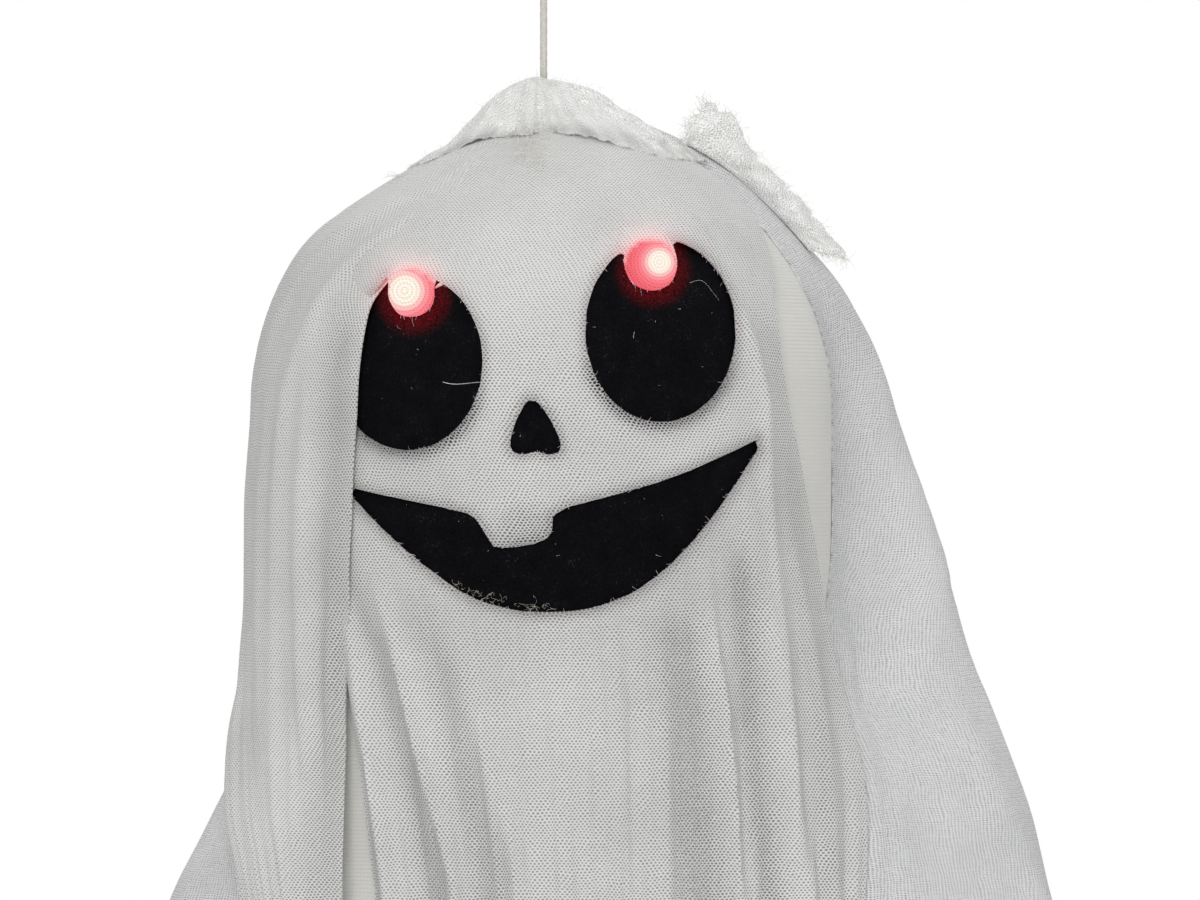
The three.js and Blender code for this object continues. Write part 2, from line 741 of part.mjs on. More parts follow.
// Shaker box
const halfWidth = boxWidth / 2;
const innerHalf = halfWidth - boxWall;
const bosses = [[-1, 1], [1, 1], [-1, -1], [1, -1]].map(([sx, sz]) => ({
  x: sx * (halfWidth - bossInset),
  z: sz > 0 ? boxTop - bossInset : boxBottom + bossInset,
  top: sz > 0,
}));
const grooveHalf = bayHalf + tongueDepth;
const coverFaceY = boxBack - boxWall - gap;
const coverInnerY = coverFaceY - coverThick;
const bayFrontY = coverInnerY - cellDia - gap * 2;
const tongueY = coverInnerY + (coverThick - tongueThick) / 2;
const shaftX = motorX + ((pinionTeeth + wheelTeeth) * gearModule);
const compoundX = motorX + ((pinionTeeth + wheelTeeth) * gearModule) / 2;
const layerA = plateY - runGap - wheelWidth;
const layerB = layerA - driveGap - wheelWidth;
const frontInner = -boxFront + boxWall;
const axleBossY = layerA - driveGap - pinionWidth - runGap;

function switchCut(margin) {
  const reach = knobHeight + switchTravel;
  const middle = lowZ - switchTravel / 2;
  return block(switchX - knobWidth / 2 - margin, switchX + knobWidth / 2 + margin,
    boxBack - boxWall - gap - switchDepth / 2, boxBack + 1,
    middle - reach / 2 - margin, middle + reach / 2 + margin);
}

function boxBackTray() {
  let tray = block(-halfWidth, halfWidth, splitY, boxBack, boxBottom, boxTop);
  tray = tray.subtract(block(-innerHalf, innerHalf, splitY - 1, boxBack - boxWall,
    boxBottom + boxWall, boxTop - boxWall));
  const bayTopZ = bayTop + bayFloor;
  tray = tray.add(block(-bayHalf - bayWall, bayHalf + bayWall, bayFrontY - boxWall, boxBack - 1,
    boxBottom + 1, bayTopZ));
  tray = tray.subtract(block(-bayHalf, bayHalf, bayFrontY, boxBack + 1, bayBottom, bayTop));
  tray = tray.subtract(block(-grooveHalf - gap, grooveHalf + gap, tongueY - gap,
    tongueY + tongueThick + gap, boxBottom - 1, bayTop));
  tray = tray.subtract(block(-bayHalf, bayHalf, coverInnerY - gap, boxBack + 1, boxBottom - 1, bayTop));
  for (const { x, z, top } of bosses) {
    const end = top ? plateY + gearPlateThick + gap : splitY;
    tray = tray.add(barY(bossRadius, x, z, end, boxBack - 1, 12));
    tray = tray.subtract(barY(screwRadius + gap, x, z, end - 1, boxBack + 1, 8));
    tray = tray.subtract(barY(screwHeadRadius + gap * 2, x, z, boxBack - counterbore, boxBack + 1, 12));
  }
  const bearing = boxBack - boxWall - bearingProud;
  tray = tray.add(barY(shaftRadius + boxWall, shaftX, driveZ, bearing, boxBack - 1));
  tray = tray.subtract(barY(shaftRadius + gap, shaftX, driveZ, 0, boxBack - boxWall + bearingDepth));
  const postZ = lowZ + boardHeight / 2 - boardPostDrop;
  const postRoots = [[boardX - boardPostInset, bayFrontY - 1], [boardX + boardPostInset, boxBack - 1]];
  for (const [x, root] of postRoots) {
    tray = tray.add(barY(boardPostRadius, x, postZ, boardY + boardThick + gap, root, 12));
  }
  const cradleOff = motorHeight / 2 + gap;
  for (const z of [driveZ - cradleOff - cradleThick, driveZ + cradleOff]) {
    tray = tray.add(block(motorX - cradleHalf, motorX + cradleHalf, cradleFront, boxBack - 1,
      z, z + cradleThick));
  }
  const wireZ = boxTop + wireRise;
  tray = tray.add(block(-wireBossHalf, wireBossHalf, wireY - wireBossWall, wireY + wireBossWall,
    boxTop - 1, wireZ + wireBossWall));
  const boreRadius = wireDia / 2 + gap;
  const bore = new THREE.CylinderGeometry(boreRadius, boreRadius, wireBossHalf * 2 + 2, 12);
  tray = tray.subtract(solidOf(bore.rotateZ(Math.PI / 2).translate(0, wireY, wireZ)));
  tray = tray.subtract(barZ(neckDia / 2 + gap, 0, 0, boxTop - boxWall - 1, boxTop + 12, 24));
  return tray.subtract(switchCut(gap));
}

function boxFrontCover() {
  let cover = block(-halfWidth, halfWidth, -boxFront, splitY - gap, boxBottom, boxTop);
  cover = cover.subtract(block(-innerHalf, innerHalf, frontInner, splitY,
    boxBottom + boxWall, boxTop - boxWall));
  for (const { x, z, top } of bosses) {
    const end = top ? plateY - gap : splitY - gap;
    cover = cover.add(barY(bossRadius, x, z, frontInner - 1, end, 12));
    cover = cover.subtract(barY(screwRadius + gap, x, z, frontInner + 1, splitY + 1, 8));
  }
  for (const [x, bore] of [[compoundX, axleRadius], [shaftX, shaftRadius]]) {
    const end = Math.max(frontInner + bearingDepth, axleBossY);
    cover = cover.add(barY(axleBossRadius, x, driveZ, frontInner - 1, end, 16));
    cover = cover.subtract(barY(bore + gap, x, driveZ, frontInner - 1, splitY, 12));
  }
  for (let i = 0; i < slotCount; i += 1) {
    const x = speakerX + (i - (slotCount - 1) / 2) * slotPitch;
    cover = cover.subtract(block(x - slotWidth / 2, x + slotWidth / 2, -boxFront - 1, frontInner + 1,
      lowZ - slotHalf, lowZ + slotHalf));
  }
  cover = cover.add(barY(micRadius + micWall, boardX, lowZ, frontInner - 1, frontInner + micLength / 2, 16));
  cover = cover.subtract(barY(micRadius + gap, boardX, lowZ, frontInner, splitY, 16));
  cover = cover.subtract(barY(micHole, boardX, lowZ, -boxFront - 1, splitY, 8));
  return cover.subtract(barZ(neckDia / 2 + gap, 0, 0, boxTop - boxWall - 1, boxTop + 1, 24));
}

function boxScrew({ x, z }) {
  const headSeat = boxBack - counterbore + gap;
  const end = Math.max(headSeat - screwLength, frontInner + 1 + gap);
  return barY(screwRadius, x, z, end, headSeat + 0.5, 8)
    .add(barY(screwHeadRadius, x, z, headSeat, headSeat + screwHeadThick, 12));
}

// The cover slides down in two grooves, and has ribs to push it by
function batteryCover() {
  const [low, high] = [boxBottom + gap, bayTop - gap];
  let cover = block(-bayHalf + gap, bayHalf - gap, coverInnerY, coverFaceY, low, high);
  cover = cover.add(block(-grooveHalf, grooveHalf, tongueY, tongueY + tongueThick, low, high));
  for (let i = 0; i < gripCount; i += 1) {
    const z = boxBottom + gripLow + i * gripPitch;
    cover = cover.add(block(-gripHalf, gripHalf, coverInnerY + 1, coverFaceY + gripProud, z, z + gripHeight));
  }
  return cover;
}

const cellY = bayFrontY + gap + cellDia / 2;
const cellX = (i) => (i - (cellCount - 1) / 2) * cellPitch;
const nubUp = (i) => i % 2 === 0;
const cellEase = 0.6;

function cell(i) {
  const [body, nub, tall] = [cellDia / 2, nubDia / 2, cellLength];
  const profile = [[0, 0], [body - cellEase, 0], [body, cellEase], [body, tall - cellEase],
    [body - cellEase, tall], [nub, tall], [nub, tall + nubLength], [0, tall + nubLength]];
  const foot = bayBottom + plateThick + gap + (nubUp(i) ? springLength + gap : 0);
  const solid = turned(profile, 14);
  const turn = nubUp(i) ? solid : solid.rotate([180, 0, 0]).translate([0, 0, tall + nubLength]);
  return turn.translate([cellX(i), cellY, foot]);
}

// A cone that stands in for the coils
function cellSpring(i) {
  const profile = [[0, 0], [springFootRadius, 0], [springTipRadius, springLength], [0, springLength]];
  const z = nubUp(i) ? bayBottom + gap : bayTop - gap;
  const solid = turned(profile, 12);
  return (nubUp(i) ? solid : solid.rotate([180, 0, 0])).translate([cellX(i), cellY, z]);
}

function contactPlate(i) {
  const half = cellPitch / 2 - 1;
  const z = nubUp(i) ? bayTop - gap - plateThick : bayBottom + gap;
  return block(cellX(i) - half, cellX(i) + half, bayFrontY + gap, coverInnerY - 1, z, z + plateThick);
}

// Involute gear outline with relieved flanks, as [x, z] points about its own centre
function gearOutline(teeth, toothAt) {
  const pitch = (teeth * gearModule) / 2;
  const base = pitch * Math.cos(radians(pressureAngle));
  const root = pitch - dedendum * gearModule;
  const tip = pitch + addendum * gearModule;
  const involute = (radius) => {
    const t = Math.sqrt(Math.max(0, (radius / base) ** 2 - 1));
    return t - Math.atan(t);
  };
  const halfTooth = Math.PI / teeth / 2 - backlash / pitch + involute(pitch);
  const flank = [Math.max(root, base), (pitch + Math.max(root, base)) / 2, pitch, (pitch + tip) / 2, tip];
  const levels = teeth > 20 ? [flank[0], flank[4]] : [flank[0], flank[2], flank[4]];
  const outline = [];
  for (let i = 0; i < teeth; i += 1) {
    const middle = toothAt + (i / teeth) * Math.PI * 2;
    const side = levels.map((radius) => [radius, halfTooth - involute(radius)]);
    if (root < levels[0] - 0.01) side.unshift([root, side[0][1]]);
    for (const [radius, turn] of side) {
      outline.push([radius * Math.cos(middle - turn), radius * Math.sin(middle - turn)]);
    }
    for (const [radius, turn] of side.reverse()) {
      outline.push([radius * Math.cos(middle + turn), radius * Math.sin(middle + turn)]);
    }
  }
  return outline;
}

function gear(teeth, toothAt, x, y0, y1) {
  const outline = gearOutline(teeth, toothAt).map(([dx, dz]) => [x + dx, driveZ + dz]);
  return prism(outline, y0, y1);
}

const wheelGapAt = (teeth, towards) => towards + Math.PI / teeth;

function motorPinion() {
  return gear(pinionTeeth, 0, motorX, layerA, layerA + pinionWidth - runGap)
    .add(barY(axleRadius, motorX, driveZ, layerA, plateY + gearPlateThick, 12));
}

function compoundGear() {
  return gear(wheelTeeth, wheelGapAt(wheelTeeth, Math.PI), compoundX, layerA, layerA + wheelWidth)
    .add(gear(pinionTeeth, 0, compoundX, layerA - driveGap - pinionWidth, layerA + 0.5))
    .subtract(barY(axleRadius + gap, compoundX, driveZ, -boxFront, splitY, 12));
}

function outputGear() {
  return gear(wheelTeeth, wheelGapAt(wheelTeeth, Math.PI), shaftX, layerB, layerB + wheelWidth)
    .subtract(barY(shaftRadius + gap, shaftX, driveZ, -boxFront, splitY, 12));
}

function gearPlate() {
  const edge = innerHalf - gap;
  const low = driveZ - weightRadius - 2;
  let plate = block(-edge, edge, plateY, plateY + gearPlateThick, low, boxTop - boxWall - gap);
  const neckRoom = neckDia / 2 + neckFlange + 2;
  plate = plate.subtract(block(-neckRoom, neckRoom, -far, 0, neckBottom - 3, boxTop));
  for (const { x, z } of bosses.filter(({ top }) => top)) {
    plate = plate.subtract(barY(screwRadius + gap, x, z, -boxFront, 0, 12));
  }
  plate = plate.subtract(barY(axleRadius * 3, motorX, driveZ, -boxFront, 0, 16));
  plate = plate.subtract(barY(axleRadius + gap, compoundX, driveZ, -boxFront, 0, 12));
  return plate.subtract(barY(shaftRadius + gap, shaftX, driveZ, -boxFront, 0, 12));
}

const motorFront = plateY + gearPlateThick + gap;

function motor() {
  return barY(motorWidth / 2, motorX, driveZ, motorFront, motorFront + motorLength, 24)
    .intersect(block(-far, far, -far, far, driveZ - motorHeight / 2, driveZ + motorHeight / 2));
}

function eccentricWeight() {
  const back = boxBack - boxWall - bearingProud - runGap;
  const whole = barY(weightRadius, shaftX, driveZ, back - weightWidth, back, 28);
  return whole.intersect(block(-far, far, -far, far, -far * 2, driveZ))
    .add(barY(weightHubRadius, shaftX, driveZ, back - weightWidth, back, 16))
    .subtract(barY(shaftRadius + gap, shaftX, driveZ, -boxFront, boxBack, 12));
}

// Frame, cone and magnet, each narrower than the one before it
function speaker() {
  const front = frontInner + gap;
  const magnet = speakerRadius / 2;
  return barY(speakerRadius, speakerX, lowZ, front, front + speakerDepth * 0.3, 24)
    .add(barY(speakerRadius * 0.7, speakerX, lowZ, front + 2, front + speakerDepth * 0.6, 18))
    .add(barY(magnet, speakerX, lowZ, front + speakerDepth * 0.5, front + speakerDepth, 18))
    .subtract(barY(speakerRadius * 0.8, speakerX, lowZ, front - 1, front + 1, 20));
}

// A board with its chip and its capacitor
function controlBoard() {
  const half = boardHeight / 2;
  const root = boardY + boardThick / 2;
  return block(boardX - boardWidth / 2, boardX + boardWidth / 2, boardY, boardY + boardThick,
    lowZ - half, lowZ + half)
    .add(block(boardX + chip.from, boardX + chip.to, boardY - chipProud, root, lowZ + chip.low,
      lowZ + chip.high))
    .add(block(boardX + capacitor.from, boardX + capacitor.to, boardY - capacitorProud, root,
      lowZ + capacitor.low, lowZ + capacitor.high));
}

function microphone() {
  return barY(micRadius, boardX, lowZ, frontInner + gap, frontInner + gap + micLength, 16);
}

function switchBody() {
  const back = boxBack - boxWall - gap;
  const middle = lowZ - switchTravel / 2;
  return block(switchX - switchWidth / 2, switchX + switchWidth / 2, back - switchDepth, back,
    middle - switchHeight / 2, middle + switchHeight / 2).subtract(switchCut(gap));
}

function switchKnob() {
  return block(switchX - knobWidth / 2, switchX + knobWidth / 2, boxBack - boxWall - switchDepth / 2,
    boxBack + knobProud, lowZ - knobHeight / 2, lowZ + knobHeight / 2);
}

function wireTip(side) {
  const fall = wireFall + side * wireTilt;
  const reach = baseRadius(side * 97, fall) - capDia / 2 - wireClear;
  return [headCentreX + side * reach, wireY, headZ - fall];
}

function wirePath() {
  const z = boxTop + wireRise;
  const straight = [-1, -0.6, -0.3, 0, 0.3, 0.6, 1].map((part) => [part * wireStraight, wireY, z]);
  const shoulder = (side) => [side * (wireStraight + wireShoulder.out), wireY, z - wireShoulder.down];
  return [wireTip(-1), shoulder(-1), ...straight, shoulder(1), wireTip(1)];
}

function endCap(at, towards) {
  const along = new THREE.Vector3(...towards).sub(new THREE.Vector3(...at)).normalize();
  const turn = new THREE.Quaternion().setFromUnitVectors(new THREE.Vector3(0, 1, 0), along);
  const cup = new THREE.CylinderGeometry(wireDia / 2 + gap, wireDia / 2 + gap, capBore * 2, 8);
  cup.translate(0, capBore, 0);
  const out = along.clone().multiplyScalar(-gap);
  const knob = new THREE.SphereGeometry(capDia / 2, 12, 8);
  const hole = cup.applyQuaternion(turn).translate(out.x, out.y, out.z);
  return solidOf(knob).subtract(solidOf(hole)).translate([...at]);
}

// Assembly
const group = new THREE.Group();

function addPart(name, solid, color, roughness = 0.8, metalness = 0) {
  const material = new THREE.MeshStandardMaterial({ color, roughness, metalness });
  const mesh = new THREE.Mesh(geometryOf(solid), material);
  mesh.name = name;
  group.add(mesh);
}

function stopWasher() {
  return barZ(washerDia / 2, 0, 0, washerTop - washerThick, washerTop)
    .subtract(barZ(cordDia / 2 + gap, 0, 0, washerTop - washerThick - 1, washerTop + 1, 12));
}

const shells = headShells();
const bearingFront = frontInner - 1 + gap;
const bearingBack = boxBack - boxWall + bearingDepth - gap;
addPart("hang_loop", hangLoop(), cordCream);
addPart("loop_knot", ball(knotDia, knotZ), cordCream);
addPart("hang_cord", straightCord(knotZ - knotDia / 2 - gap, tipZ + bendGap, 8), cordCream);
addPart("cord_tail", straightCord(tipZ - tailGap, washerTop - washerThick, 4), cordCream);
addPart("stop_washer", stopWasher(), steelGrey, 0.4, 1);
addPart("stop_knot", ball(knotDia, stopKnotZ), cordCream);
addPart("head_front_shell", shells.front, 0xe8e6e0, 0.5);
addPart("head_back_shell", shells.back, 0xe8e6e0, 0.5);
addPart("inner_gown", gown(), 0xdad8d2);
addPart("face_sheet", faceSheet(), clothWhite);
addPart("side_drape", sideDrape(), clothWhite);
addPart("back_drape", backDrape(), 0xd2d2d6);
addPart("crown_gauze", crownGauze(), gauzeWhite);
addPart("gauze_tail", gauzeTail(), gauzeWhite);
addPart("felt_eye_left", felt(eyeOutline(leftEye, feltMargin), leftLed), feltBlack, 0.95);
addPart("felt_eye_right", felt(eyeOutline(rightEye, feltMargin), rightLed), feltBlack, 0.95);
addPart("felt_nose", felt(grown(placed(noseOutline), feltMargin)), feltBlack, 0.95);
addPart("felt_mouth", felt(grown(smileOutline, feltMargin)), feltBlack, 0.95);
addPart("led_left", ledBulb(leftLed), ledRed, 0.2);
addPart("led_right", ledBulb(rightLed), ledRed, 0.2);
addPart("led_sleeve_left", ledSleeve(leftLed), boxBlack, 0.5);
addPart("led_sleeve_right", ledSleeve(rightLed), boxBlack, 0.5);
addPart("eye_lead_left", eyeLead(leftLed, -1), leadRed, 0.5);
addPart("eye_lead_right", eyeLead(rightLed, 1), leadRed, 0.5);
addPart("neck_tube", neckTube(), boxBlack, 0.5);
addPart("box_front_cover", boxFrontCover(), boxBlack, 0.5);
addPart("box_back_tray", boxBackTray(), boxBlack, 0.5);
bosses.forEach((boss, i) => addPart(`box_screw_${i + 1}`, boxScrew(boss), steelGrey, 0.35, 1));
addPart("battery_cover", batteryCover(), boxBlack, 0.5);
for (let i = 0; i < cellCount; i += 1) {
  addPart(`battery_${i + 1}`, cell(i), 0x2f5f3a, 0.35, 0.3);
  addPart(`battery_spring_${i + 1}`, cellSpring(i), steelGrey, 0.35, 1);
  addPart(`contact_plate_${i + 1}`, contactPlate(i), steelGrey, 0.35, 1);
}
addPart("control_board", controlBoard(), 0x1f6b3a, 0.5);
addPart("speaker", speaker(), 0x2a2a2c, 0.6);
addPart("microphone", microphone(), steelGrey, 0.4, 1);
addPart("switch_body", switchBody(), steelGrey, 0.4, 1);
addPart("switch_knob", switchKnob(), boxBlack, 0.4);
addPart("gear_plate", gearPlate(), 0xcfcfca, 0.5);
addPart("motor", motor(), steelGrey, 0.35, 1);
addPart("motor_pinion", motorPinion(), brassYellow, 0.35, 1);
addPart("compound_gear", compoundGear(), gearWhite, 0.5);
addPart("compound_axle", barY(axleRadius, compoundX, driveZ, bearingFront, plateY + gearPlateThick, 12),
  steelGrey, 0.3, 1);
addPart("output_gear", outputGear(), gearWhite, 0.5);
addPart("output_shaft", barY(shaftRadius, shaftX, driveZ, bearingFront, bearingBack, 12), steelGrey, 0.3, 1);
addPart("eccentric_weight", eccentricWeight(), 0x6f7276, 0.5, 1);
const wire = wirePath();
addPart("spreader_wire", tube(curveThrough(wire), wireDia, 18), steelGrey, 0.4, 1);
addPart("spreader_cap_left", endCap(wire[0], wire[1]), boxBlack, 0.5);
addPart("spreader_cap_right", endCap(wire[wire.length - 1], wire[wire.length - 2]), boxBlack, 0.5);

export default group;
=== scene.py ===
import math
import bpy
import numpy as np
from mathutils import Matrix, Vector


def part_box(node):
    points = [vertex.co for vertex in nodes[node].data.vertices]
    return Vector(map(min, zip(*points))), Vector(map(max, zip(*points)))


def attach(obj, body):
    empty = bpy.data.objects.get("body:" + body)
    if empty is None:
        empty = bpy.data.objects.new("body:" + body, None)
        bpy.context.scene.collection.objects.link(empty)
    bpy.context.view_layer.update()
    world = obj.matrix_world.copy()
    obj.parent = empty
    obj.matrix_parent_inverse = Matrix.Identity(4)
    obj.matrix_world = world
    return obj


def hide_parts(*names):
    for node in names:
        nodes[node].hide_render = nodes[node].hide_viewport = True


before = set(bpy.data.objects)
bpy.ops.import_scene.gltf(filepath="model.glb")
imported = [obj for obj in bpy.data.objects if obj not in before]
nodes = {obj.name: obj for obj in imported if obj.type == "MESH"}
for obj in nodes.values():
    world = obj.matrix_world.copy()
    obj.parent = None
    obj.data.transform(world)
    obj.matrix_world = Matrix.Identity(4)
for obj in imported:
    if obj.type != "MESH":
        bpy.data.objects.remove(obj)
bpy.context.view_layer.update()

# lengths are in mm up to the mesh, where they become metres
mm = 0.001


def toLinear(hexCode):
    parts = [int(hexCode[i:i + 2], 16) / 255 for i in (1, 3, 5)]
    return [c / 12.92 if c <= 0.04045 else ((c + 0.055) / 1.055) ** 2.4 for c in parts] + [1.0]


def setInputs(tree, node, inputs):
    # each input takes a constant, a colour's hex code or another node's output
    for name, value in inputs.items():
        if isinstance(value, bpy.types.NodeSocket):
            tree.links.new(value, node.inputs[name])
        else:
            node.inputs[name].default_value = toLinear(value) if isinstance(value, str) else value


def addNode(tree, kind, inputs={}, **settings):
    node = tree.nodes.new("ShaderNode" + kind)
    for name, value in settings.items():
        setattr(node, name, value)
    setInputs(tree, node, inputs)
    return node


def maths(tree, operation, *values, **settings):
    return addNode(tree, "Math", dict(enumerate(values)), operation=operation, **settings).outputs[0]


def vectorMaths(tree, operation, *values):
    node = addNode(tree, "VectorMath", dict(enumerate(values)), operation=operation)
    return node.outputs["Value" if operation == "LENGTH" else "Vector"]


def attribute(tree, name):
    return addNode(tree, "Attribute", attribute_name=name).outputs["Fac"]


def noise(tree, place, grain, detail, roughness=0.5, output="Fac"):
    # grain is the size of its lumps in mm
    inputs = {"Vector": place, "Scale": 1000 / grain, "Detail": detail, "Roughness": roughness}
    return addNode(tree, "TexNoise", inputs).outputs[output]


def remap(tree, value, low, high, toLow=0.0, toHigh=1.0, soft=False):
    inputs = {"Value": value, "From Min": low, "From Max": high, "To Min": toLow, "To Max": toHigh}
    return addNode(tree, "MapRange", inputs, interpolation_type="SMOOTHSTEP" if soft else "LINEAR").outputs[0]


def colourRamp(tree, factor, first, last, *between):
    # each stop is its place from 0 to 1 and its colour
    node = addNode(tree, "ValToRGB", {"Fac": factor})
    ramp = node.color_ramp.elements
    for element, (position, colour) in ((ramp[0], first), (ramp[1], last)):
        element.position, element.color = position, toLinear(colour)
    for position, colour in between:
        ramp.new(position).color = toLinear(colour)
    return node.outputs["Color"]


def mixed(tree, factor, first, second):
    return addNode(tree, "Mix", {"Factor": factor, "A": first, "B": second}, data_type="RGBA").outputs["Result"]


def bumped(tree, height, strength, depth):
    # depth is in mm
    inputs = {"Height": height, "Strength": strength, "Distance": depth * mm}
    return addNode(tree, "Bump", inputs).outputs["Normal"]


def startMaterial(name, inputs={}):
    material = bpy.data.materials.new(name)
    material.use_nodes = True
    tree = material.node_tree
    shader = tree.nodes["Principled BSDF"]
    setInputs(tree, shader, inputs)
    return material, tree, shader, addNode(tree, "TexCoord").outputs["Object"]


def toObjectMode():
    if bpy.context.object and bpy.context.object.mode != "OBJECT":
        bpy.ops.object.mode_set(mode="OBJECT")
    bpy.ops.object.select_all(action="DESELECT")


def onlySelect(piece):
    toObjectMode()
    piece.select_set(True)
    bpy.context.view_layer.objects.active = piece


def turnOutward(piece, merge=None):
    onlySelect(piece)
    bpy.ops.object.mode_set(mode="EDIT")
    bpy.ops.mesh.select_all(action="SELECT")
    if merge:
        bpy.ops.mesh.remove_doubles(threshold=merge * mm)
    bpy.ops.mesh.normals_make_consistent(inside=False)
    bpy.ops.mesh.delete_loose()
    bpy.ops.object.mode_set(mode="OBJECT")


def applyModifier(piece, kind, **settings):
    onlySelect(piece)
    modifier = piece.modifiers.new(kind.title(), kind)
    for name, value in settings.items():
        setattr(modifier, name, value)
    bpy.ops.object.modifier_apply(modifier=modifier.name)


def finishPiece(piece, body, material, smooth):
    # place goes into the mesh, then the piece gets its finish and its body
    onlySelect(piece)
    bpy.ops.object.transform_apply(location=True, rotation=True, scale=True)
    bpy.ops.object.shade_smooth_by_angle(angle=math.radians(smooth))
    piece.data.materials.clear()
    piece.data.materials.append(material)
    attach(piece, body)
    return piece


def finishCloth(piece, thick, material, smooth=70, merge=None):
    # one layer becomes cloth with a thickness
    turnOutward(piece, merge)
    applyModifier(piece, "SOLIDIFY", thickness=thick * mm, offset=0)
    return finishPiece(piece, "figure", material, smooth)


def makeMesh(name, points, faces, uvs=None, fields={}):
    mesh = bpy.data.meshes.new(name)
    mesh.from_pydata((np.asarray(points, float) * mm).tolist(), [], faces)
    if uvs is not None:
        corners = np.empty(len(mesh.loops), np.int32)
        mesh.loops.foreach_get("vertex_index", corners)
        layer = mesh.uv_layers.new(name="cloth")
        layer.data.foreach_set("uv", np.asarray(uvs, np.float32)[corners].ravel())
    for field, values in fields.items():
        store = mesh.attributes.new(field, "FLOAT", "POINT")
        store.data.foreach_set("value", np.asarray(values, np.float32))
    piece = bpy.data.objects.new(name, mesh)
    bpy.context.scene.collection.objects.link(piece)
    return piece


def eased(low, high, value):
    t = np.clip((np.asarray(value, float) - low) / (high - low), 0, 1)
    return t * t * (3 - 2 * t)


def lookUp(table, keys, spread=7.0):
    # a table's value at each key, evened out over a short stretch
    keys = np.asarray(keys, float)
    xs, ys = zip(*table)
    steps = np.linspace(-spread, spread, 9)
    weights = 1.2 - np.abs(steps) / max(spread, 0.001)
    total = sum(w * np.interp(keys + s, xs, ys) for s, w in zip(steps, weights))
    return total / weights.sum()


def waves(u, v, seed, fine, long, count=9):
    # soft uneven waves: fine is their spacing across, long their spacing down, both in mm
    pick = np.random.default_rng(seed)
    total = np.zeros(np.broadcast(u, v).shape)
    for _ in range(count):
        across = 2 * math.pi / (fine * pick.uniform(0.7, 1.9))
        down = 2 * math.pi / (long * pick.uniform(0.8, 2.2)) * pick.choice([-1, 1])
        total += pick.uniform(0.5, 1) * np.sin(across * u + down * v + pick.uniform(0, 6.28))
    return total / math.sqrt(count)


# camera, lights and stage

# in metres, and the powers in watts
view = {
    "centre": (0.01425, -0.035, -0.151),
    "distance": 3.0,
    "width": 0.300,  # what the frame spans at the ghost
    "world": 0.44,
    "key": {"place": (-0.4, -2.0, 0.95), "size": 1.2, "power": 25},
    "fill": {"place": (1.5, -1.5, 0.2), "size": 1.4, "power": 6},
    "rim": {"place": (0.3, 1.2, 1.5), "size": 1.2, "power": 11},
    "floor": -0.60,
}


def setCamera(scene):
    camera = bpy.data.cameras.new("camera")
    camera.sensor_width = 36
    camera.lens = 36 * view["distance"] / view["width"]
    camera.clip_end = 60
    holder = bpy.data.objects.new("camera", camera)
    scene.collection.objects.link(holder)
    x, y, z = view["centre"]
    holder.location = (x, y - view["distance"], z)
    holder.rotation_euler = (math.radians(90), 0, 0)
    scene.camera = holder
    scene.view_settings.view_transform = "Standard"


def setLights(scene):
    for name in ("key", "fill", "rim"):
        spec = view[name]
        lamp = bpy.data.lights.new(name, "AREA")
        lamp.size = spec["size"]
        lamp.energy = spec["power"]
        light = bpy.data.objects.new(name, lamp)
        light.location = spec["place"]
        aim = Vector(view["centre"]) - Vector(spec["place"])
        light.rotation_euler = aim.to_track_quat("-Z", "Y").to_euler()
        scene.collection.objects.link(light)


def setWorld(scene):
    # white where the camera and clear or shiny pieces see it, and dimmer as a light
    world = bpy.data.worlds.new("studio")
    scene.world = world
    world.use_nodes = True
    tree = world.node_tree
    tree.nodes.clear()
    ray = addNode(tree, "LightPath").outputs
    seen = maths(tree, "MAXIMUM", ray["Is Camera Ray"], ray["Is Glossy Ray"])
    seen = maths(tree, "MAXIMUM", seen, ray["Is Transmission Ray"])
    strength = remap(tree, seen, 0.0, 1.0, view["world"])
    sky = addNode(tree, "Background", {"Color": "#FFFFFF", "Strength": strength})
    addNode(tree, "OutputWorld", {"Surface": sky.outputs[0]})


def setFloor():
    # it glows a little in the camera's eyes, so that it runs into the white behind it
    bpy.ops.object.select_all(action="DESELECT")
    bpy.ops.mesh.primitive_plane_add(size=8, location=(0, 0, view["floor"]))
    floor = bpy.context.object
    floor.name = "floor"
    material, tree, shader, _ = startMaterial("pale studio floor", {"Roughness": 0.9, "Base Color": "#E4E4E4"})
    glow = addNode(tree, "Emission", {"Color": "#FFFFFF", "Strength": 0.55})
    both = addNode(tree, "AddShader", {0: shader.outputs[0], 1: glow.outputs[0]})
    ray = addNode(tree, "LightPath").outputs
    choose = addNode(tree, "MixShader", {0: ray["Is Camera Ray"], 1: shader.outputs[0], 2: both.outputs[0]})
    setInputs(tree, tree.nodes["Material Output"], {"Surface": choose.outputs[0]})
    floor.data.materials.append(material)


setCamera(bpy.context.scene)
setLights(bpy.context.scene)
setWorld(bpy.context.scene)
setFloor()
print("camera, lights and floor are set")


# cord, loop and knots: white cotton twine of three strands

twine = {
    "radius": 0.85,
    "lobe": 0.085,      # how far a strand stands out
    "lay": 4.2,         # mm of cord for a full turn of a strand
    "loopWidth": 10.0, "loopTop": -0.95,
    "knot": 6.0, "knotZ": -18.0, "knotGap": 0.35,
    "tip": -58.0, "tipGap": 0.55,       # where the cord goes into the gauze
}


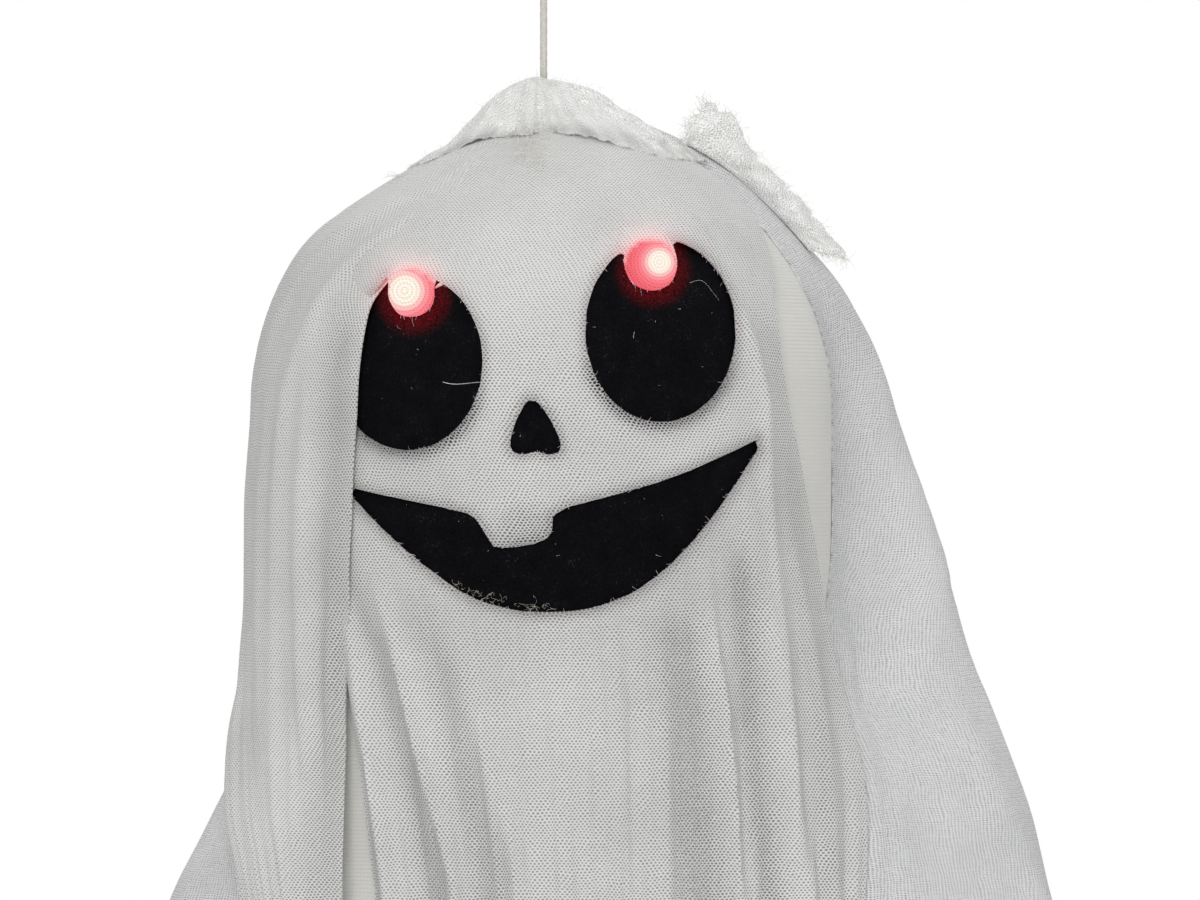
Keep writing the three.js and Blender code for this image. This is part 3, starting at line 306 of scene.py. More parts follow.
def sweep(points, radius, lobe, lay, closed=False, sides=24, strands=3):
    # a tube along the points, its outline turning with the strands; its ends are closed
    line = np.asarray(points, float)
    steps = np.roll(line, -1, 0) - np.roll(line, 1, 0) if closed else np.gradient(line, axis=0)
    tangents = steps / np.linalg.norm(steps, axis=1)[:, None]
    lengths = np.concatenate([[0], np.cumsum(np.linalg.norm(np.diff(line, axis=0), axis=1))])
    side = np.cross(tangents[0], [0.0, 1.0, 0.0])
    if np.linalg.norm(side) < 0.2:
        side = np.cross(tangents[0], [1.0, 0.0, 0.0])
    verts, uvs = [], []
    for k, tangent in enumerate(tangents):
        side = side - tangent * side.dot(tangent)
        side /= np.linalg.norm(side)
        up = np.cross(tangent, side)
        turn = np.linspace(0, 2 * math.pi, sides, endpoint=False)
        around = turn - 2 * math.pi * lengths[k] / lay
        reach = radius - lobe + lobe * np.abs(np.cos(around * strands / 2)) ** 0.6 * 2
        verts += list(line[k] + np.outer(np.cos(turn) * reach, side) + np.outer(np.sin(turn) * reach, up))
        uvs += [(angle * radius, lengths[k]) for angle in turn]
    count = len(line)
    faces = []
    for k in range(count if closed else count - 1):
        low, high = k * sides, ((k + 1) % count) * sides
        for s in range(sides):
            t = (s + 1) % sides
            faces.append((low + s, low + t, high + t, high + s))
    if not closed:
        faces.append(tuple(range(sides - 1, -1, -1)))
        faces.append(tuple((count - 1) * sides + s for s in range(sides)))
    return verts, faces, uvs


def twineMaterial():
    # cotton twine: dull, off-white, with fine fibres lying along each strand
    surface = {"Roughness": 0.9, "Sheen Weight": 0.15}
    material, tree, shader, place = startMaterial("twisted cotton twine", surface)
    fibres = noise(tree, place, 1 / 2.6, 3.0)
    setInputs(tree, shader, {"Base Color": colourRamp(tree, fibres, (0.3, "#BFBBB2"), (1.0, "#E9E7E1")),
                             "Normal": bumped(tree, fibres, 0.5, 0.1)})
    return material


twineFinish = twineMaterial()


def twinePiece(name, points, body, replaced, closed=False):
    verts, faces, uvs = sweep(points, twine["radius"], twine["lobe"], twine["lay"], closed)
    piece = makeMesh(name, verts, faces, uvs)
    turnOutward(piece)
    finishPiece(piece, body, twineFinish, smooth=60)
    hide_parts(replaced)
    return piece


def loopLine():
    half = (twine["loopWidth"] - 2 * twine["radius"]) / 2
    top, foot = twine["loopTop"], twine["knotZ"] + twine["knot"] / 2 + 0.6
    turn = np.linspace(-math.pi, math.pi, 70)
    level = (1 + np.cos(turn)) / 2                      # 0 at the knot, 1 at the top
    across = np.sin(turn / 2) * half * np.sin(np.pi * np.clip(level, 0, 1)) ** 0.55
    across += np.sign(turn) * 1.3 * (1 - level) ** 2
    return np.stack([across, 0 * turn, foot + (top - foot) * level ** 0.9], 1)


def knotLine(z):
    # the turns of a small overhand knot
    s = np.linspace(0, 2 * math.pi, 90, endpoint=False)
    ring = 1.18 + 0.78 * np.cos(3 * s)
    return np.stack([ring * np.cos(2 * s), ring * np.sin(2 * s), z + 1.35 * np.sin(3 * s)], 1)


def nodeTop(name):
    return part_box(name)[1][2] / mm


def nodeFoot(name):
    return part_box(name)[0][2] / mm


def makeCords():
    cordTop = twine["knotZ"] - twine["knot"] / 2 - twine["knotGap"]
    cordFoot = twine["tip"] + twine["tipGap"]
    level = np.linspace(cordFoot, cordTop, 40)
    line = np.stack([0 * level, 0 * level, level], 1)
    hanging = twinePiece("twine_hanging", line, "cord", "hang_cord")
    knot = twinePiece("twine_loop_knot", knotLine(twine["knotZ"]), "cord", "loop_knot", closed=True)
    twinePiece("twine_loop", loopLine(), "hanger", "hang_loop")
    tail = np.linspace(nodeTop("cord_tail"), nodeFoot("cord_tail"), 24)
    twinePiece("twine_tail", np.stack([0 * tail, 0 * tail, tail], 1), "cord_end", "cord_tail")
    middle = (nodeTop("stop_knot") + nodeFoot("stop_knot")) / 2
    twinePiece("twine_stop_knot", knotLine(middle), "cord_end", "stop_knot", closed=True)


makeCords()
print("cord, loop and knots are made")


# the form that every sheet of cloth hangs over

# left, right, back and front say how far it spreads past the head, by the fall below the head's centre
body = {
    "radius": 69.0, "centreX": 2.8, "headZ": -141.0, "tip": -58.0, "chin": 72.0, "power": 2.6, "hug": 50.5,
    "bend": 5.0,
    "left": [[0, 0], [50.5, 0], [72, 2.5], [92, 6.5], [110, 14], [122.5, 21.5], [159, 40], [199, 46],
             [330, 44], [440, 40]],
    "right": [[0, 0], [37, 0], [50.5, 0], [72, 6], [92, 20], [122.5, 37], [159, 52], [199, 56],
              [330, 54], [440, 50]],
    "back": [[0, 0], [72, 3], [122.5, 9], [199, 15], [440, 21]],
    "front": [[0, 0], [21.5, 0.5], [41.5, 2], [72, 4.5], [149, 9.5], [340, 16]],
}


def formRadius(azimuth, fall):
    side = np.sin(np.radians(azimuth))
    ahead = np.cos(np.radians(azimuth))
    spread = np.where(side < 0, lookUp(body["left"], fall), lookUp(body["right"], fall))
    # the cloth leaves the chin in a soft bend
    bend = body["bend"]
    held = np.clip(body["hug"] - bend * np.log1p(np.exp((body["hug"] - fall) / bend)), 0, None)
    front = body["radius"] * (1 - (held / body["chin"]) ** body["power"]) ** (1 / body["power"])
    front = front + lookUp(body["front"], fall - body["hug"])
    depth = np.where(ahead > 0, front, body["radius"] + lookUp(body["back"], fall))
    return 1 / np.hypot(side / (body["radius"] + spread), ahead / depth)


def turnsAt(places):
    # the azimuth at which cloth that far off the form reaches each x, level by level
    table = []
    for level, x, offset in places:
        azimuth = math.copysign(40.0, x)
        for _ in range(14):
            reach = float(formRadius(np.array(azimuth), np.array(max(level, 0.0)))) + offset
            azimuth = math.degrees(math.asin((x - body["centreX"]) / reach))
        table.append([level, azimuth])
    return table


def clothPoint(azimuth, t, offset, centreX=None):
    # t is the angle from the crown down to 90, and then 90 plus the fall below the head's centre
    centreX = body["centreX"] if centreX is None else centreX
    dome = np.minimum(t, 90)
    fall = np.clip(t - 90, 0, None)
    onDome = t <= 90
    across = np.where(onDome, (body["radius"] + offset) * np.sin(np.radians(dome)),
                      formRadius(azimuth, fall) + offset)
    level = np.where(onDome, body["headZ"] + (body["radius"] + offset) * np.cos(np.radians(dome)),
                     body["headZ"] - fall)
    turn = np.radians(azimuth)
    return np.stack([centreX + across * np.sin(turn), -across * np.cos(turn), level], -1)


def levelOf(t):
    # how far a row is below the head's centre, less than 0 on the dome
    return np.where(t <= 90, -body["radius"] * np.cos(np.radians(np.minimum(t, 90))), t - 90)


def rowsOf(start, fall, fine, coarse, split=128.0):
    # rows close together over the head and wider apart towards the hem
    end = 90 + fall
    if end <= 90 + split:
        return np.linspace(start, end, int((end - start) / fine) + 1)
    upper = np.linspace(start, 90 + split, int((90 + split - start) / fine) + 1)
    lower = np.linspace(90 + split, end, int((end - 90 - split) / coarse) + 1)
    return np.concatenate([upper, lower[1:]])


def foldOffset(spec, azimuth, share, level, width):
    # how far the folds lift the cloth, and how far they open its mesh
    lift = np.zeros(azimuth.shape)
    opened = np.zeros(azimuth.shape)
    sideways = body["centreX"] + formRadius(azimuth, np.clip(level, 0, None)) * np.sin(np.radians(azimuth))
    for fold in spec["folds"]:
        centre = lookUp(fold["line"], level, 4.0)
        away = sideways - centre if spec["foldsBy"] == "x" else (share - centre) * width
        wide = fold["wide"] * (1 + fold.get("grow", 0.0) * eased(60, 300, level))
        shape = np.exp(-np.abs(away / wide) ** (1.25 if fold.get("crisp") else 2))
        strength = eased(fold["from"], fold["full"], level)
        lift += fold.get("high", 0.0) * shape * strength
        opened += fold.get("open", 0.0) * shape * strength
    return lift, opened


def clothGrid(spec, liftAt):
    rows = rowsOf(spec["start"], spec["fall"], spec["rowStep"], spec["rowStep"] * 3.0)
    share, t = np.meshgrid(np.linspace(0, 1, spec["columns"] + 1), rows)
    frayed = spec["ragged"] * waves(share * 260, 0 * share, spec["seed"] + 3, 9, 400, 12)
    t = t + frayed * eased(spec["fall"] + 60, spec["fall"] + 90, t)
    level = levelOf(t)
    first, last = lookUp(spec["first"], level, 5.0), lookUp(spec["last"], level, 5.0)
    azimuth = first + (last - first) * share
    width = np.radians(np.abs(last - first)) * formRadius(azimuth, np.clip(level, 0, None))
    lift, opened = foldOffset(spec, azimuth, share, level, width)
    crinkle = waves(share * spec["spread"], t, spec["seed"], spec["crinkle"], 150)
    fine = waves(share * spec["spread"], t, spec["seed"] + 1, spec["crinkle"] * 0.4, 60)
    low, high = spec["crinkleHeight"]
    height = low + (high - low) * eased(10, 190, level)
    offset = spec["offset"] + liftAt(azimuth, level, share) + lift + height * crinkle + height * 0.3 * fine
    points = clothPoint(azimuth, t, offset)
    return {"points": points, "level": level, "opened": opened}


def clothCoordinates(points):
    # mm across and down the cloth, kept from its middle column so that the knit runs straight
    across = np.linalg.norm(np.diff(points, axis=1), axis=2)
    u = np.concatenate([np.zeros((len(points), 1)), np.cumsum(across, 1)], 1)
    u -= u[:, u.shape[1] // 2][:, None]
    down = np.linalg.norm(np.diff(points, axis=0), axis=2).mean(1)
    v = np.concatenate([[0], np.cumsum(down)])[:, None] + 0 * u
    return np.stack([u, -v], -1)


def gridFaces(rows, columns):
    faces = []
    for j in range(rows - 1):
        for i in range(columns - 1):
            low = j * columns + i
            faces.append((low, low + columns, low + columns + 1, low + 1))
    return faces


def insideOutline(x, z, outline):
    inside = np.zeros(x.shape, bool)
    for (x0, z0), (x1, z1) in zip(outline, outline[1:] + outline[:1]):
        crosses = (z0 > z) != (z1 > z)
        at = x0 + (z - z0) / (z1 - z0 if z1 != z0 else 1e-9) * (x1 - x0)
        inside ^= crosses & (x < at)
    return inside


def nearestOnOutline(x, z, outline):
    best = np.full(x.shape, 1e9)
    bestX, bestZ = x.copy(), z.copy()
    for (x0, z0), (x1, z1) in zip(outline, outline[1:] + outline[:1]):
        dx, dz = x1 - x0, z1 - z0
        along = np.clip(((x - x0) * dx + (z - z0) * dz) / (dx * dx + dz * dz + 1e-12), 0, 1)
        px, pz = x0 + along * dx, z0 + along * dz
        gap = np.hypot(x - px, z - pz)
        near = gap < best
        best[near], bestX[near], bestZ[near] = gap[near], px[near], pz[near]
    return best, bestX, bestZ


# what lies ahead of this y is on the face
frontY = -20.0


def cutHoles(points, faces, outlines):
    # leaves out the faces in each outline, and draws the edge that is left onto the outline
    x, z = points[:, 0], points[:, 2]
    ahead = points[:, 1] < frontY
    for outline in outlines:
        inside = insideOutline(x, z, outline) & ahead
        corners = np.array(faces)
        cut = inside[corners].sum(1) >= 3
        kept = corners[~cut]
        edge = np.intersect1d(np.unique(corners[cut]), np.unique(kept))
        strays = np.intersect1d(np.unique(kept), np.nonzero(inside)[0])
        edge = np.union1d(edge, strays)
        _, edgeX, edgeZ = nearestOnOutline(x[edge], z[edge], outline)
        across, down = slopes(points, edge)
        points[edge, 1] += across * (edgeX - x[edge]) + down * (edgeZ - z[edge])
        x[edge], z[edge] = edgeX, edgeZ
        faces = [tuple(f) for f in kept.tolist()]
    return points, faces


def slopes(points, chosen):
    # how steeply y changes with x and with z at a point on the front of the cloth
    x = points[chosen, 0] - body["centreX"]
    z = points[chosen, 2] - body["headZ"]
    y = points[chosen, 1]
    low = np.where(z > 0, z, z * 0.25)
    return -x / y, -low / y


# each sheet's lowest row of points, where its loose threads start
hems = {}


# the knit's gap to a lamp, the part of the dome that it follows, its slope past that, and how softly they meet
drape = {"gap": 0.45, "dome": 4.2, "slope": 1.4, "reach": 16, "soft": 1.1}


def drapeOverLamps(points):
    # the knit is held forward by each lamp's dome and falls back round it
    for (x, drop), node in zip(cuts["lamps"], ("led_left", "led_right")):
        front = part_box(node)[0][1] / mm
        away = np.hypot(points[:, 0] - x, points[:, 2] - (body["tip"] - drop))
        radius = cuts["lampRadius"]
        dome = radius - np.sqrt(np.clip(radius ** 2 - np.minimum(away, drape["dome"]) ** 2, 0, None))
        cover = front - drape["gap"] + dome + np.clip(away - drape["dome"], 0, None) * drape["slope"]
        near = (away < drape["reach"]) & (points[:, 1] < frontY)
        soft = drape["soft"]
        points[near, 1] = -soft * np.logaddexp(-points[near, 1] / soft, -cover[near] / soft)
    return points


def makeSheet(name, spec, liftAt, replaced, finish, outlines=(), extra=None):
    grid = clothGrid(spec, liftAt)
    count, across = grid["level"].shape
    uvs = clothCoordinates(grid["points"]).reshape(-1, 2)
    points, faces = grid["points"].reshape(-1, 3), gridFaces(count, across)
    if spec.get("overLamps"):
        points = drapeOverLamps(points)
    if outlines:
        points, faces = cutHoles(points, faces, outlines)
    fields = {"opened": grid["opened"].ravel()}
    if extra:
        fields.update(extra(points, grid))
    piece = makeMesh(name, points, faces, uvs, fields)
    finishCloth(piece, spec["thick"], finish)
    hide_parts(replaced)
    hems[name] = grid["points"][-1]
    return piece


# cloth finishes: the pattern follows each sheet's own coordinates, in mm

# the bright spot of each lamp: x, mm below the foot of the cord, and its size
lampCores = [(-34.2, 53.5, 1.0), (29.0, 46.4, 0.74)]


def fromSpot(tree, place, x, drop):
    # the distance from a line through the object, front to back
    away = vectorMaths(tree, "SUBTRACT", place, (x * mm, 0.0, (body["tip"] - drop) * mm))
    return vectorMaths(tree, "LENGTH", vectorMaths(tree, "MULTIPLY", away, (1, 0, 1)))


def lightKnit(tree, shader, place, hole, tone):
    # where the knit hangs over a lamp it glows: cream over the chip, then pink, and red at its edge
    lit = attribute(tree, "lit")
    spans = [maths(tree, "MULTIPLY", fromSpot(tree, place, x, drop), 1000 / size) for x, drop, size in lampCores]
    span = maths(tree, "MINIMUM", *spans)
    glow = colourRamp(tree, remap(tree, span, 0.0, 10.0), (0.33, "#FFF8E8"), (1.0, "#F0606C"),
                      (0.37, "#FFE0D4"), (0.46, "#FFC2C0"), (0.52, "#FFA0A6"), (0.7, "#FF7682"))
    # fine rings, 1.1 mm apart, and less light from the knit's holes
    rings = maths(tree, "SINE", maths(tree, "MULTIPLY", span, 2 * math.pi / 1.1))
    even = maths(tree, "MULTIPLY_ADD", rings, 0.1, 0.95)
    strength = maths(tree, "MULTIPLY", lit, maths(tree, "MULTIPLY_ADD", hole, -0.22, even))
    # past the lamp the light fades to a pale pink
    hung = maths(tree, "POWER", lit, 2.2)
    setInputs(tree, shader, {"Emission Color": mixed(tree, hung, "#E89090", glow), "Emission Strength": strength,
                             "Base Color": mixed(tree, hung, tone, "#3A0A10")})


def knitMaterial(name, look):
    # warp-knitted polyester: dull and a little bluish, with rows of small holes that open where it is
    # stretched; what lies behind shows through them
    material, tree, shader, place = startMaterial(name, {"Roughness": 0.88, "Sheen Weight": 0.12})
    along = addNode(tree, "UVMap", uv_map="cloth").outputs[0]
    drift, pull = look["wander"]
    wander = vectorMaths(tree, "SUBTRACT", noise(tree, place, drift, 2.0, output="Color"), (0.5, 0.5, 0.5))
    moved = vectorMaths(tree, "ADD", along, vectorMaths(tree, "MULTIPLY", wander, (pull, pull, pull)))
    wale, course = look["wale"], look["course"]
    tall = course * look["tall"]
    gaps = []
    for shift in (0.0, 0.5):
        cell = vectorMaths(tree, "MULTIPLY_ADD", moved, (1 / wale, 0.5 / course, 0), (shift, shift, 0))
        sized = vectorMaths(tree, "MULTIPLY_ADD", vectorMaths(tree, "FRACTION", cell), (wale, 2 * tall, 0),
                            (-wale / 2, -tall, 0))
        slanted = addNode(tree, "Mapping", {"Vector": sized, "Rotation": (0, 0, 0.5), "Scale": (0.8, 1.3, 1)})
        gaps.append(vectorMaths(tree, "LENGTH", slanted.outputs[0]))
    opened = attribute(tree, "opened")
    size = maths(tree, "MULTIPLY_ADD", opened, look["openHole"], look["hole"])
    hole = remap(tree, maths(tree, "MINIMUM", *gaps), maths(tree, "ADD", size, look["soft"]), 0.0, soft=True)
    yarn = colourRamp(tree, noise(tree, place, look["patch"], 3.0), (0.32, look["dark"]), (0.68, look["light"]))
    mottled = remap(tree, noise(tree, place, wale, 1.0), 0.3, 0.7, 0.35)
    # painted shade: each hole is drawn in the darker shade colour, more strongly in some holes than in others,
    # besides what shows through it
    tone = mixed(tree, maths(tree, "MULTIPLY", hole, mottled), yarn, look["shade"])
    if look.get("lit"):
        # painted shade: the knit is drawn darker along the cut-outs, where it lies over the black felt
        tone = mixed(tree, attribute(tree, "edgeShade"), tone, "#8F8283")
    seen = maths(tree, "MULTIPLY_ADD", opened, look["see"][1], look["see"][0])
    solid = maths(tree, "SUBTRACT", look["cover"], maths(tree, "MULTIPLY", hole, seen, use_clamp=True))
    if look.get("fades"):
        # it thins out to nothing towards its rim
        solid = maths(tree, "MULTIPLY", solid, maths(tree, "SUBTRACT", 1.0, attribute(tree, "faded")))
    spacing, rise = look["rib"]
    row = addNode(tree, "SeparateXYZ", {0: moved}).outputs["Y"]
    ridge = maths(tree, "SINE", maths(tree, "MULTIPLY", row, 2 * math.pi / spacing))
    height = maths(tree, "SUBTRACT", maths(tree, "MULTIPLY", ridge, rise), hole)
    bump = bumped(tree, height, look["bump"], 0.18)
    setInputs(tree, shader, {"Base Color": tone, "Alpha": solid, "Normal": bump})
    if look.get("lit"):
        lightKnit(tree, shader, place, hole, tone)
    return material


knits = {
    # shade is painted shade: the darker colour drawn in each hole
    # in mm: a stitch's width and height, its hole at rest and where the mesh opens, and how soft its edge is;
    # see is how much shows through it, at rest and opened
    # the stitch is 1.15 mm wide in the photograph; the gown's ribs of 0.65 mm are drawn at 1 mm to show
    "face": {"wale": 1.06, "course": 0.7, "tall": 0.8, "hole": 0.02, "openHole": 0.2, "soft": 0.32,
             "see": (0.35, 0.7), "cover": 1.0, "dark": "#D4D4D3", "light": "#DFDFDD", "shade": "#8C8C8C",
             "rib": (1.4, 0.25), "bump": 0.6, "patch": 26.0, "wander": (6.0, 1.5), "lit": True},
    "drape": {"wale": 1.1, "course": 0.6, "tall": 1.1, "hole": 0.08, "openHole": 0.14, "soft": 0.36,
              "see": (0.1, 0.6), "cover": 1.0, "dark": "#DEDEDF", "light": "#EAEAEA", "shade": "#6C6C70",
              "rib": (1.2, 0.45), "bump": 0.7, "patch": 30.0, "wander": (6.0, 1.9)},
    "gown": {"wale": 1.0, "course": 0.5, "tall": 1.3, "hole": 0.0, "openHole": 0.05, "soft": 0.26,
             "see": (0.0, 0.1), "cover": 1.0, "dark": "#DFDED9", "light": "#E8E7E2", "shade": "#CFCDC7",
             "rib": (1.0, 0.5), "bump": 0.6, "patch": 34.0, "wander": (14.0, 0.2)},
    "gauze": {"wale": 0.85, "course": 0.5, "tall": 0.85, "hole": 0.04, "openHole": 0.12, "soft": 0.24,
              "see": (0.4, 0.3), "cover": 0.97, "dark": "#F6F6F4", "light": "#FDFDFB", "shade": "#E2E2DF",
              "rib": (1.1, 0.4), "bump": 0.6, "patch": 7.0, "wander": (2.2, 2.6), "fades": True},
}
finishes = {
    "face": knitMaterial("white warp knit, single layer", knits["face"]),
    "drape": knitMaterial("white warp knit, drapes", knits["drape"]),
    "gown": knitMaterial("cream rib jersey", knits["gown"]),
    "gauze": knitMaterial("cotton gauze", knits["gauze"]),
}


# cut-outs: mm from the middle of the cord, and mm below its foot

cuts = {
    "eyeWidth": 37.5,
    "leftEye": (-33.5, 71.1, 43.8),
    "rightEye": (29.3, 63.3, 45.6),
    "nose": [(-2.8, 79.6), (1, 83.5), (4.6, 90.5), (4.6, 93.4), (2, 94.4), (-1.4, 93.2), (-5, 94.4),
             (-7.9, 93.2), (-8, 90), (-5.6, 83.5)],
    "lipLeft": [(-50.5, 102), (-47, 102.4), (-40.5, 104), (-25.3, 107), (-18.5, 108.6), (-16.4, 110)],
    "tooth": [(-12, 116.8), (-8.8, 117.3), (0.5, 115.6), (2.5, 113), (2.5, 109.2)],
    "lipRight": [(6.3, 107), (18, 104), (28.3, 101), (36.5, 98), (47.8, 93), (53.5, 90.2)],
    "lipLower": [(53.4, 93), (50.3, 98), (46.3, 104), (42, 110), (37, 116), (31.3, 122), (23.5, 128),
                 (16.5, 131), (9.2, 133), (-3.2, 133.6), (-14.5, 131), (-20.8, 128), (-29, 122), (-36.3, 116),
                 (-42.5, 110), (-47.5, 104.6)],
    "lamps": [(-32.8, 54.8), (28, 47.2)],
    "lampRadius": 5.0,
    # the knit left hanging over each lamp, from its right end round to its left end
    "leftTongue": [(-28.4, 50.2), (-27.2, 52.2), (-26.7, 54.4), (-27.1, 56.6), (-28.4, 58.4), (-30.3, 59.6),
                   (-32.5, 60), (-34.7, 59.6), (-36.5, 58.3), (-37.7, 56.4), (-38.2, 54.2), (-38.1, 51.8),
                   (-38.7, 49.6)],
    "rightTongue": [(31.75, 40.75), (32.7, 43.4), (33.2, 46), (33.1, 48.6), (32.2, 50.9), (30.4, 52.7),
                    (28, 53.5), (25.5, 53.3), (23.1, 52.2), (21.3, 50.3), (20.4, 48), (20.1, 45.8),
                    (20.4, 43.9)],
    "leftCorner": [(-41.1, 52.7), (-43.5, 56), (-46.4, 59.8), (-49, 63.8), (-51, 68)],
    "tongues": [(-32.5, 54.35, 5.95), (26.8, 47.6, 6.6)],
    "margin": 3.0,   # felt past the edge of its cut-out
}


def below(outline):
    return [(x, body["tip"] - drop) for x, drop in outline]


def rounded(points, times=2, closed=True):
    # cuts the corners of a closed outline, or of a run whose two ends stay
    for _ in range(times):
        soft = [] if closed else [points[0]]
        for (x0, z0), (x1, z1) in zip(points, points[1:] + points[:1] if closed else points[1:]):
            soft += [(x0 * 0.75 + x1 * 0.25, z0 * 0.75 + z1 * 0.25),
                     (x0 * 0.25 + x1 * 0.75, z0 * 0.25 + z1 * 0.75)]
        points = soft if closed else soft + [points[-1]]
    return points


def ellipse(x, z, wide, tall, steps=64):
    turns = [2 * math.pi * k / steps for k in range(steps)]
    return [(x + wide * math.cos(a), z + tall * math.sin(a)) for a in turns]


def eyeOutline(eye, grow=0.0):
    x, drop, tall = eye
    return ellipse(x, body["tip"] - drop, cuts["eyeWidth"] / 2 + grow, tall / 2 + grow)


def lampCircle(lamp, radius):
    return ellipse(lamp[0], body["tip"] - lamp[1], radius, radius, 40)


def eyeCut(eye, tongue, corner=()):
    # an eye's outline, with the knit over the lamp left standing
    ring = eyeOutline(eye)
    hanging = below(tongue)
    middle = body["tip"] - eye[1]
    right, left = hanging[0][0], hanging[-1][0]
    before = [p for p in ring if p[1] >= middle and p[0] >= right]
    after = [p for p in ring if p[1] < middle or p[0] <= left]
    corner = below(corner)
    if corner:
        after = [p for p in after if p[1] <= corner[-1][1]]
    return before + rounded(hanging, closed=False) + corner + after


leftCut = eyeCut(cuts["leftEye"], cuts["leftTongue"], cuts["leftCorner"])
rightCut = eyeCut(cuts["rightEye"], cuts["rightTongue"])
noseOutline = rounded(below(cuts["nose"]))
lipLower = rounded(cuts["lipLower"], closed=False)
tooth = rounded(cuts["tooth"], 1, closed=False)
mouthOutline = below(cuts["lipLeft"] + tooth + cuts["lipRight"] + lipLower)
smileOutline = below(cuts["lipLeft"] + cuts["lipRight"] + lipLower)


def outlineNormals(points):
    ahead = np.roll(points, -1, 0) - np.roll(points, 1, 0)
    return np.stack([ahead[:, 1], -ahead[:, 0]], 1) / (np.linalg.norm(ahead, axis=1)[:, None] + 1e-9)


def unevenEdge(outline, seed, height=0.07):
    # a hand-cut edge: the outline wavers by a fraction of a millimetre
    points = np.array(outline)
    steps = np.linalg.norm(np.roll(points, -1, 0) - points, axis=1)
    along = np.concatenate([[0], np.cumsum(steps)[:-1]])
    waver = waves(along, 0 * along, seed, 5, 900, 6)[:, None]
    return [tuple(p) for p in points + outlineNormals(points) * waver * height]


# the sheets

def noLift(azimuth, level, share):
    return 0 * azimuth


# each sheet: its first and last azimuth by level, its rows and columns, how far it stands off the form, its
# crinkles and its folds, which run by x or by their share of the way from the first azimuth to the last
gownSpec = {
    "first": [[-69, -180], [440, -180]], "last": [[-69, 180], [440, 180]],
    "start": 5.0, "fall": 340.0, "columns": 190, "rowStep": 1.9, "offset": 0.75, "thick": 0.45,
    "spread": 480, "crinkle": 9.0, "crinkleHeight": (0.05, 0.35), "ragged": 1.2, "seed": 11,
    "foldsBy": "share",
    "folds": [{"line": [[0, share], [440, share]], "wide": 11, "high": -high,
               "from": 140, "full": 300}
              for share, high in ((0.083, 5), (0.208, 6), (0.375, 5), (0.5, 4), (0.625, 5), (0.79, 6),
                                  (0.917, 5))],
}


faceSpec = {
    "first": [[-69, -60], [-40, -54], [44, -52]]
             + turnsAt([(62, -49.8, 4.5), (73, -47.7, 4.5), (92, -45.2, 4.5), (122.5, -41.3, 4.5)])
             + [[412, -31]],
    "last": [[-69, 80], [-57, 77], [-44, 68], [-27, 55], [-12, 52.5], [0, 54], [10, 57.5], [24, 61.5],
             [50.5, 68], [72, 68], [92, 64], [122.5, 58], [199, 54], [412, 54]],
    "overLamps": True, "start": 9.0, "fall": 412.0, "columns": 170, "rowStep": 1.25, "offset": 3.25,
    "thick": 0.45,
    "spread": 200, "crinkle": 6.0, "crinkleHeight": (0.06, 0.75), "ragged": 2.0, "seed": 21,
    "foldsBy": "x",
    "folds": [
        # the fan at the left of the chin: pale ridges, with open mesh between them
        {"line": [[37, -47.8], [48, -46.2], [70, -42.5], [92, -38.8], [122, -35.2], [412, -33]], "wide": 2.2,
         "high": 4.2, "from": 34, "full": 80, "crisp": True, "grow": 1.0},
        {"line": [[37, -45.2], [48, -43], [61, -37.5], [86, -31], [119, -24], [412, -22]], "wide": 3.0,
         "from": 30, "full": 60, "open": 0.65, "grow": 0.6},
        {"line": [[37, -42.5], [46, -38.8], [57, -35.2], [70, -31.5], [86, -27.8], [100, -24.5], [116, -20.2],
         [200, -15], [412, -14]], "wide": 1.9, "high": 3.8, "from": 34, "full": 78, "crisp": True, "grow": 1.2},
        {"line": [[48, -30], [63, -23], [81, -19.8], [97, -16.5], [113, -12], [200, -8], [412, -6]],
         "wide": 4.2, "from": 42, "full": 66, "open": 0.5},
        {"line": [[55, -20.8], [73, -16.5], [89, -12], [100, -9.2], [116, -5.5], [200, 0], [412, 2]],
         "wide": 3.0, "high": 2.9, "from": 50, "full": 100, "grow": 1.4},
        {"line": [[60, 3.5], [412, 8]], "wide": 4.6, "high": 2.0, "from": 58, "full": 130, "grow": 1.0},
        {"line": [[50, 15.5], [412, 21]], "wide": 4.0, "high": 2.2, "from": 56, "full": 130, "grow": 1.0},
        {"line": [[50, 27], [412, 33]], "wide": 3.2, "high": 2.0, "from": 52, "full": 120, "grow": 1.0},
        # the hanging folds under the right corner of the mouth
        {"line": [[45, 39.2], [59, 40.2], [75, 42], [92, 43.5], [113, 44.5], [200, 50], [412, 54]], "wide": 1.8,
         "high": 4.0, "from": 34, "full": 78, "crisp": True, "grow": 2.0},
        {"line": [[50, 31], [80, 34.5], [120, 37], [412, 44]], "wide": 5.5, "from": 46, "full": 60,
         "open": 0.85},
        {"line": [[-40, 47.5], [-18, 50.5], [0, 53.2], [40, 53.6], [80, 55]], "wide": 1.9, "high": 1.7,
         "from": -40, "full": -14, "crisp": True},
        {"line": [[-40, 52], [-10, 57], [20, 60], [60, 62], [120, 66]], "wide": 3.0, "from": -34, "full": -16,
         "open": 0.3},
        {"line": [[37, 46.5], [60, 47.5], [120, 52], [412, 62]], "wide": 2.6, "from": 28, "full": 42,
         "open": 0.7},
        {"line": [[0, 48.5], [40, 49.5], [59, 52.2], [78, 54.2], [97, 56], [119, 59.2], [200, 66], [412, 70]],
         "wide": 2.6, "high": 3.4, "from": 5, "full": 80, "grow": 1.2},
        {"line": [[0, 55], [48, 59.8], [65, 62], [86, 64.8], [108, 65.8], [200, 74], [412, 80]], "wide": 2.2,
         "high": 1.9, "from": 0, "full": 90, "crisp": True, "grow": 1.4},
    ],
}

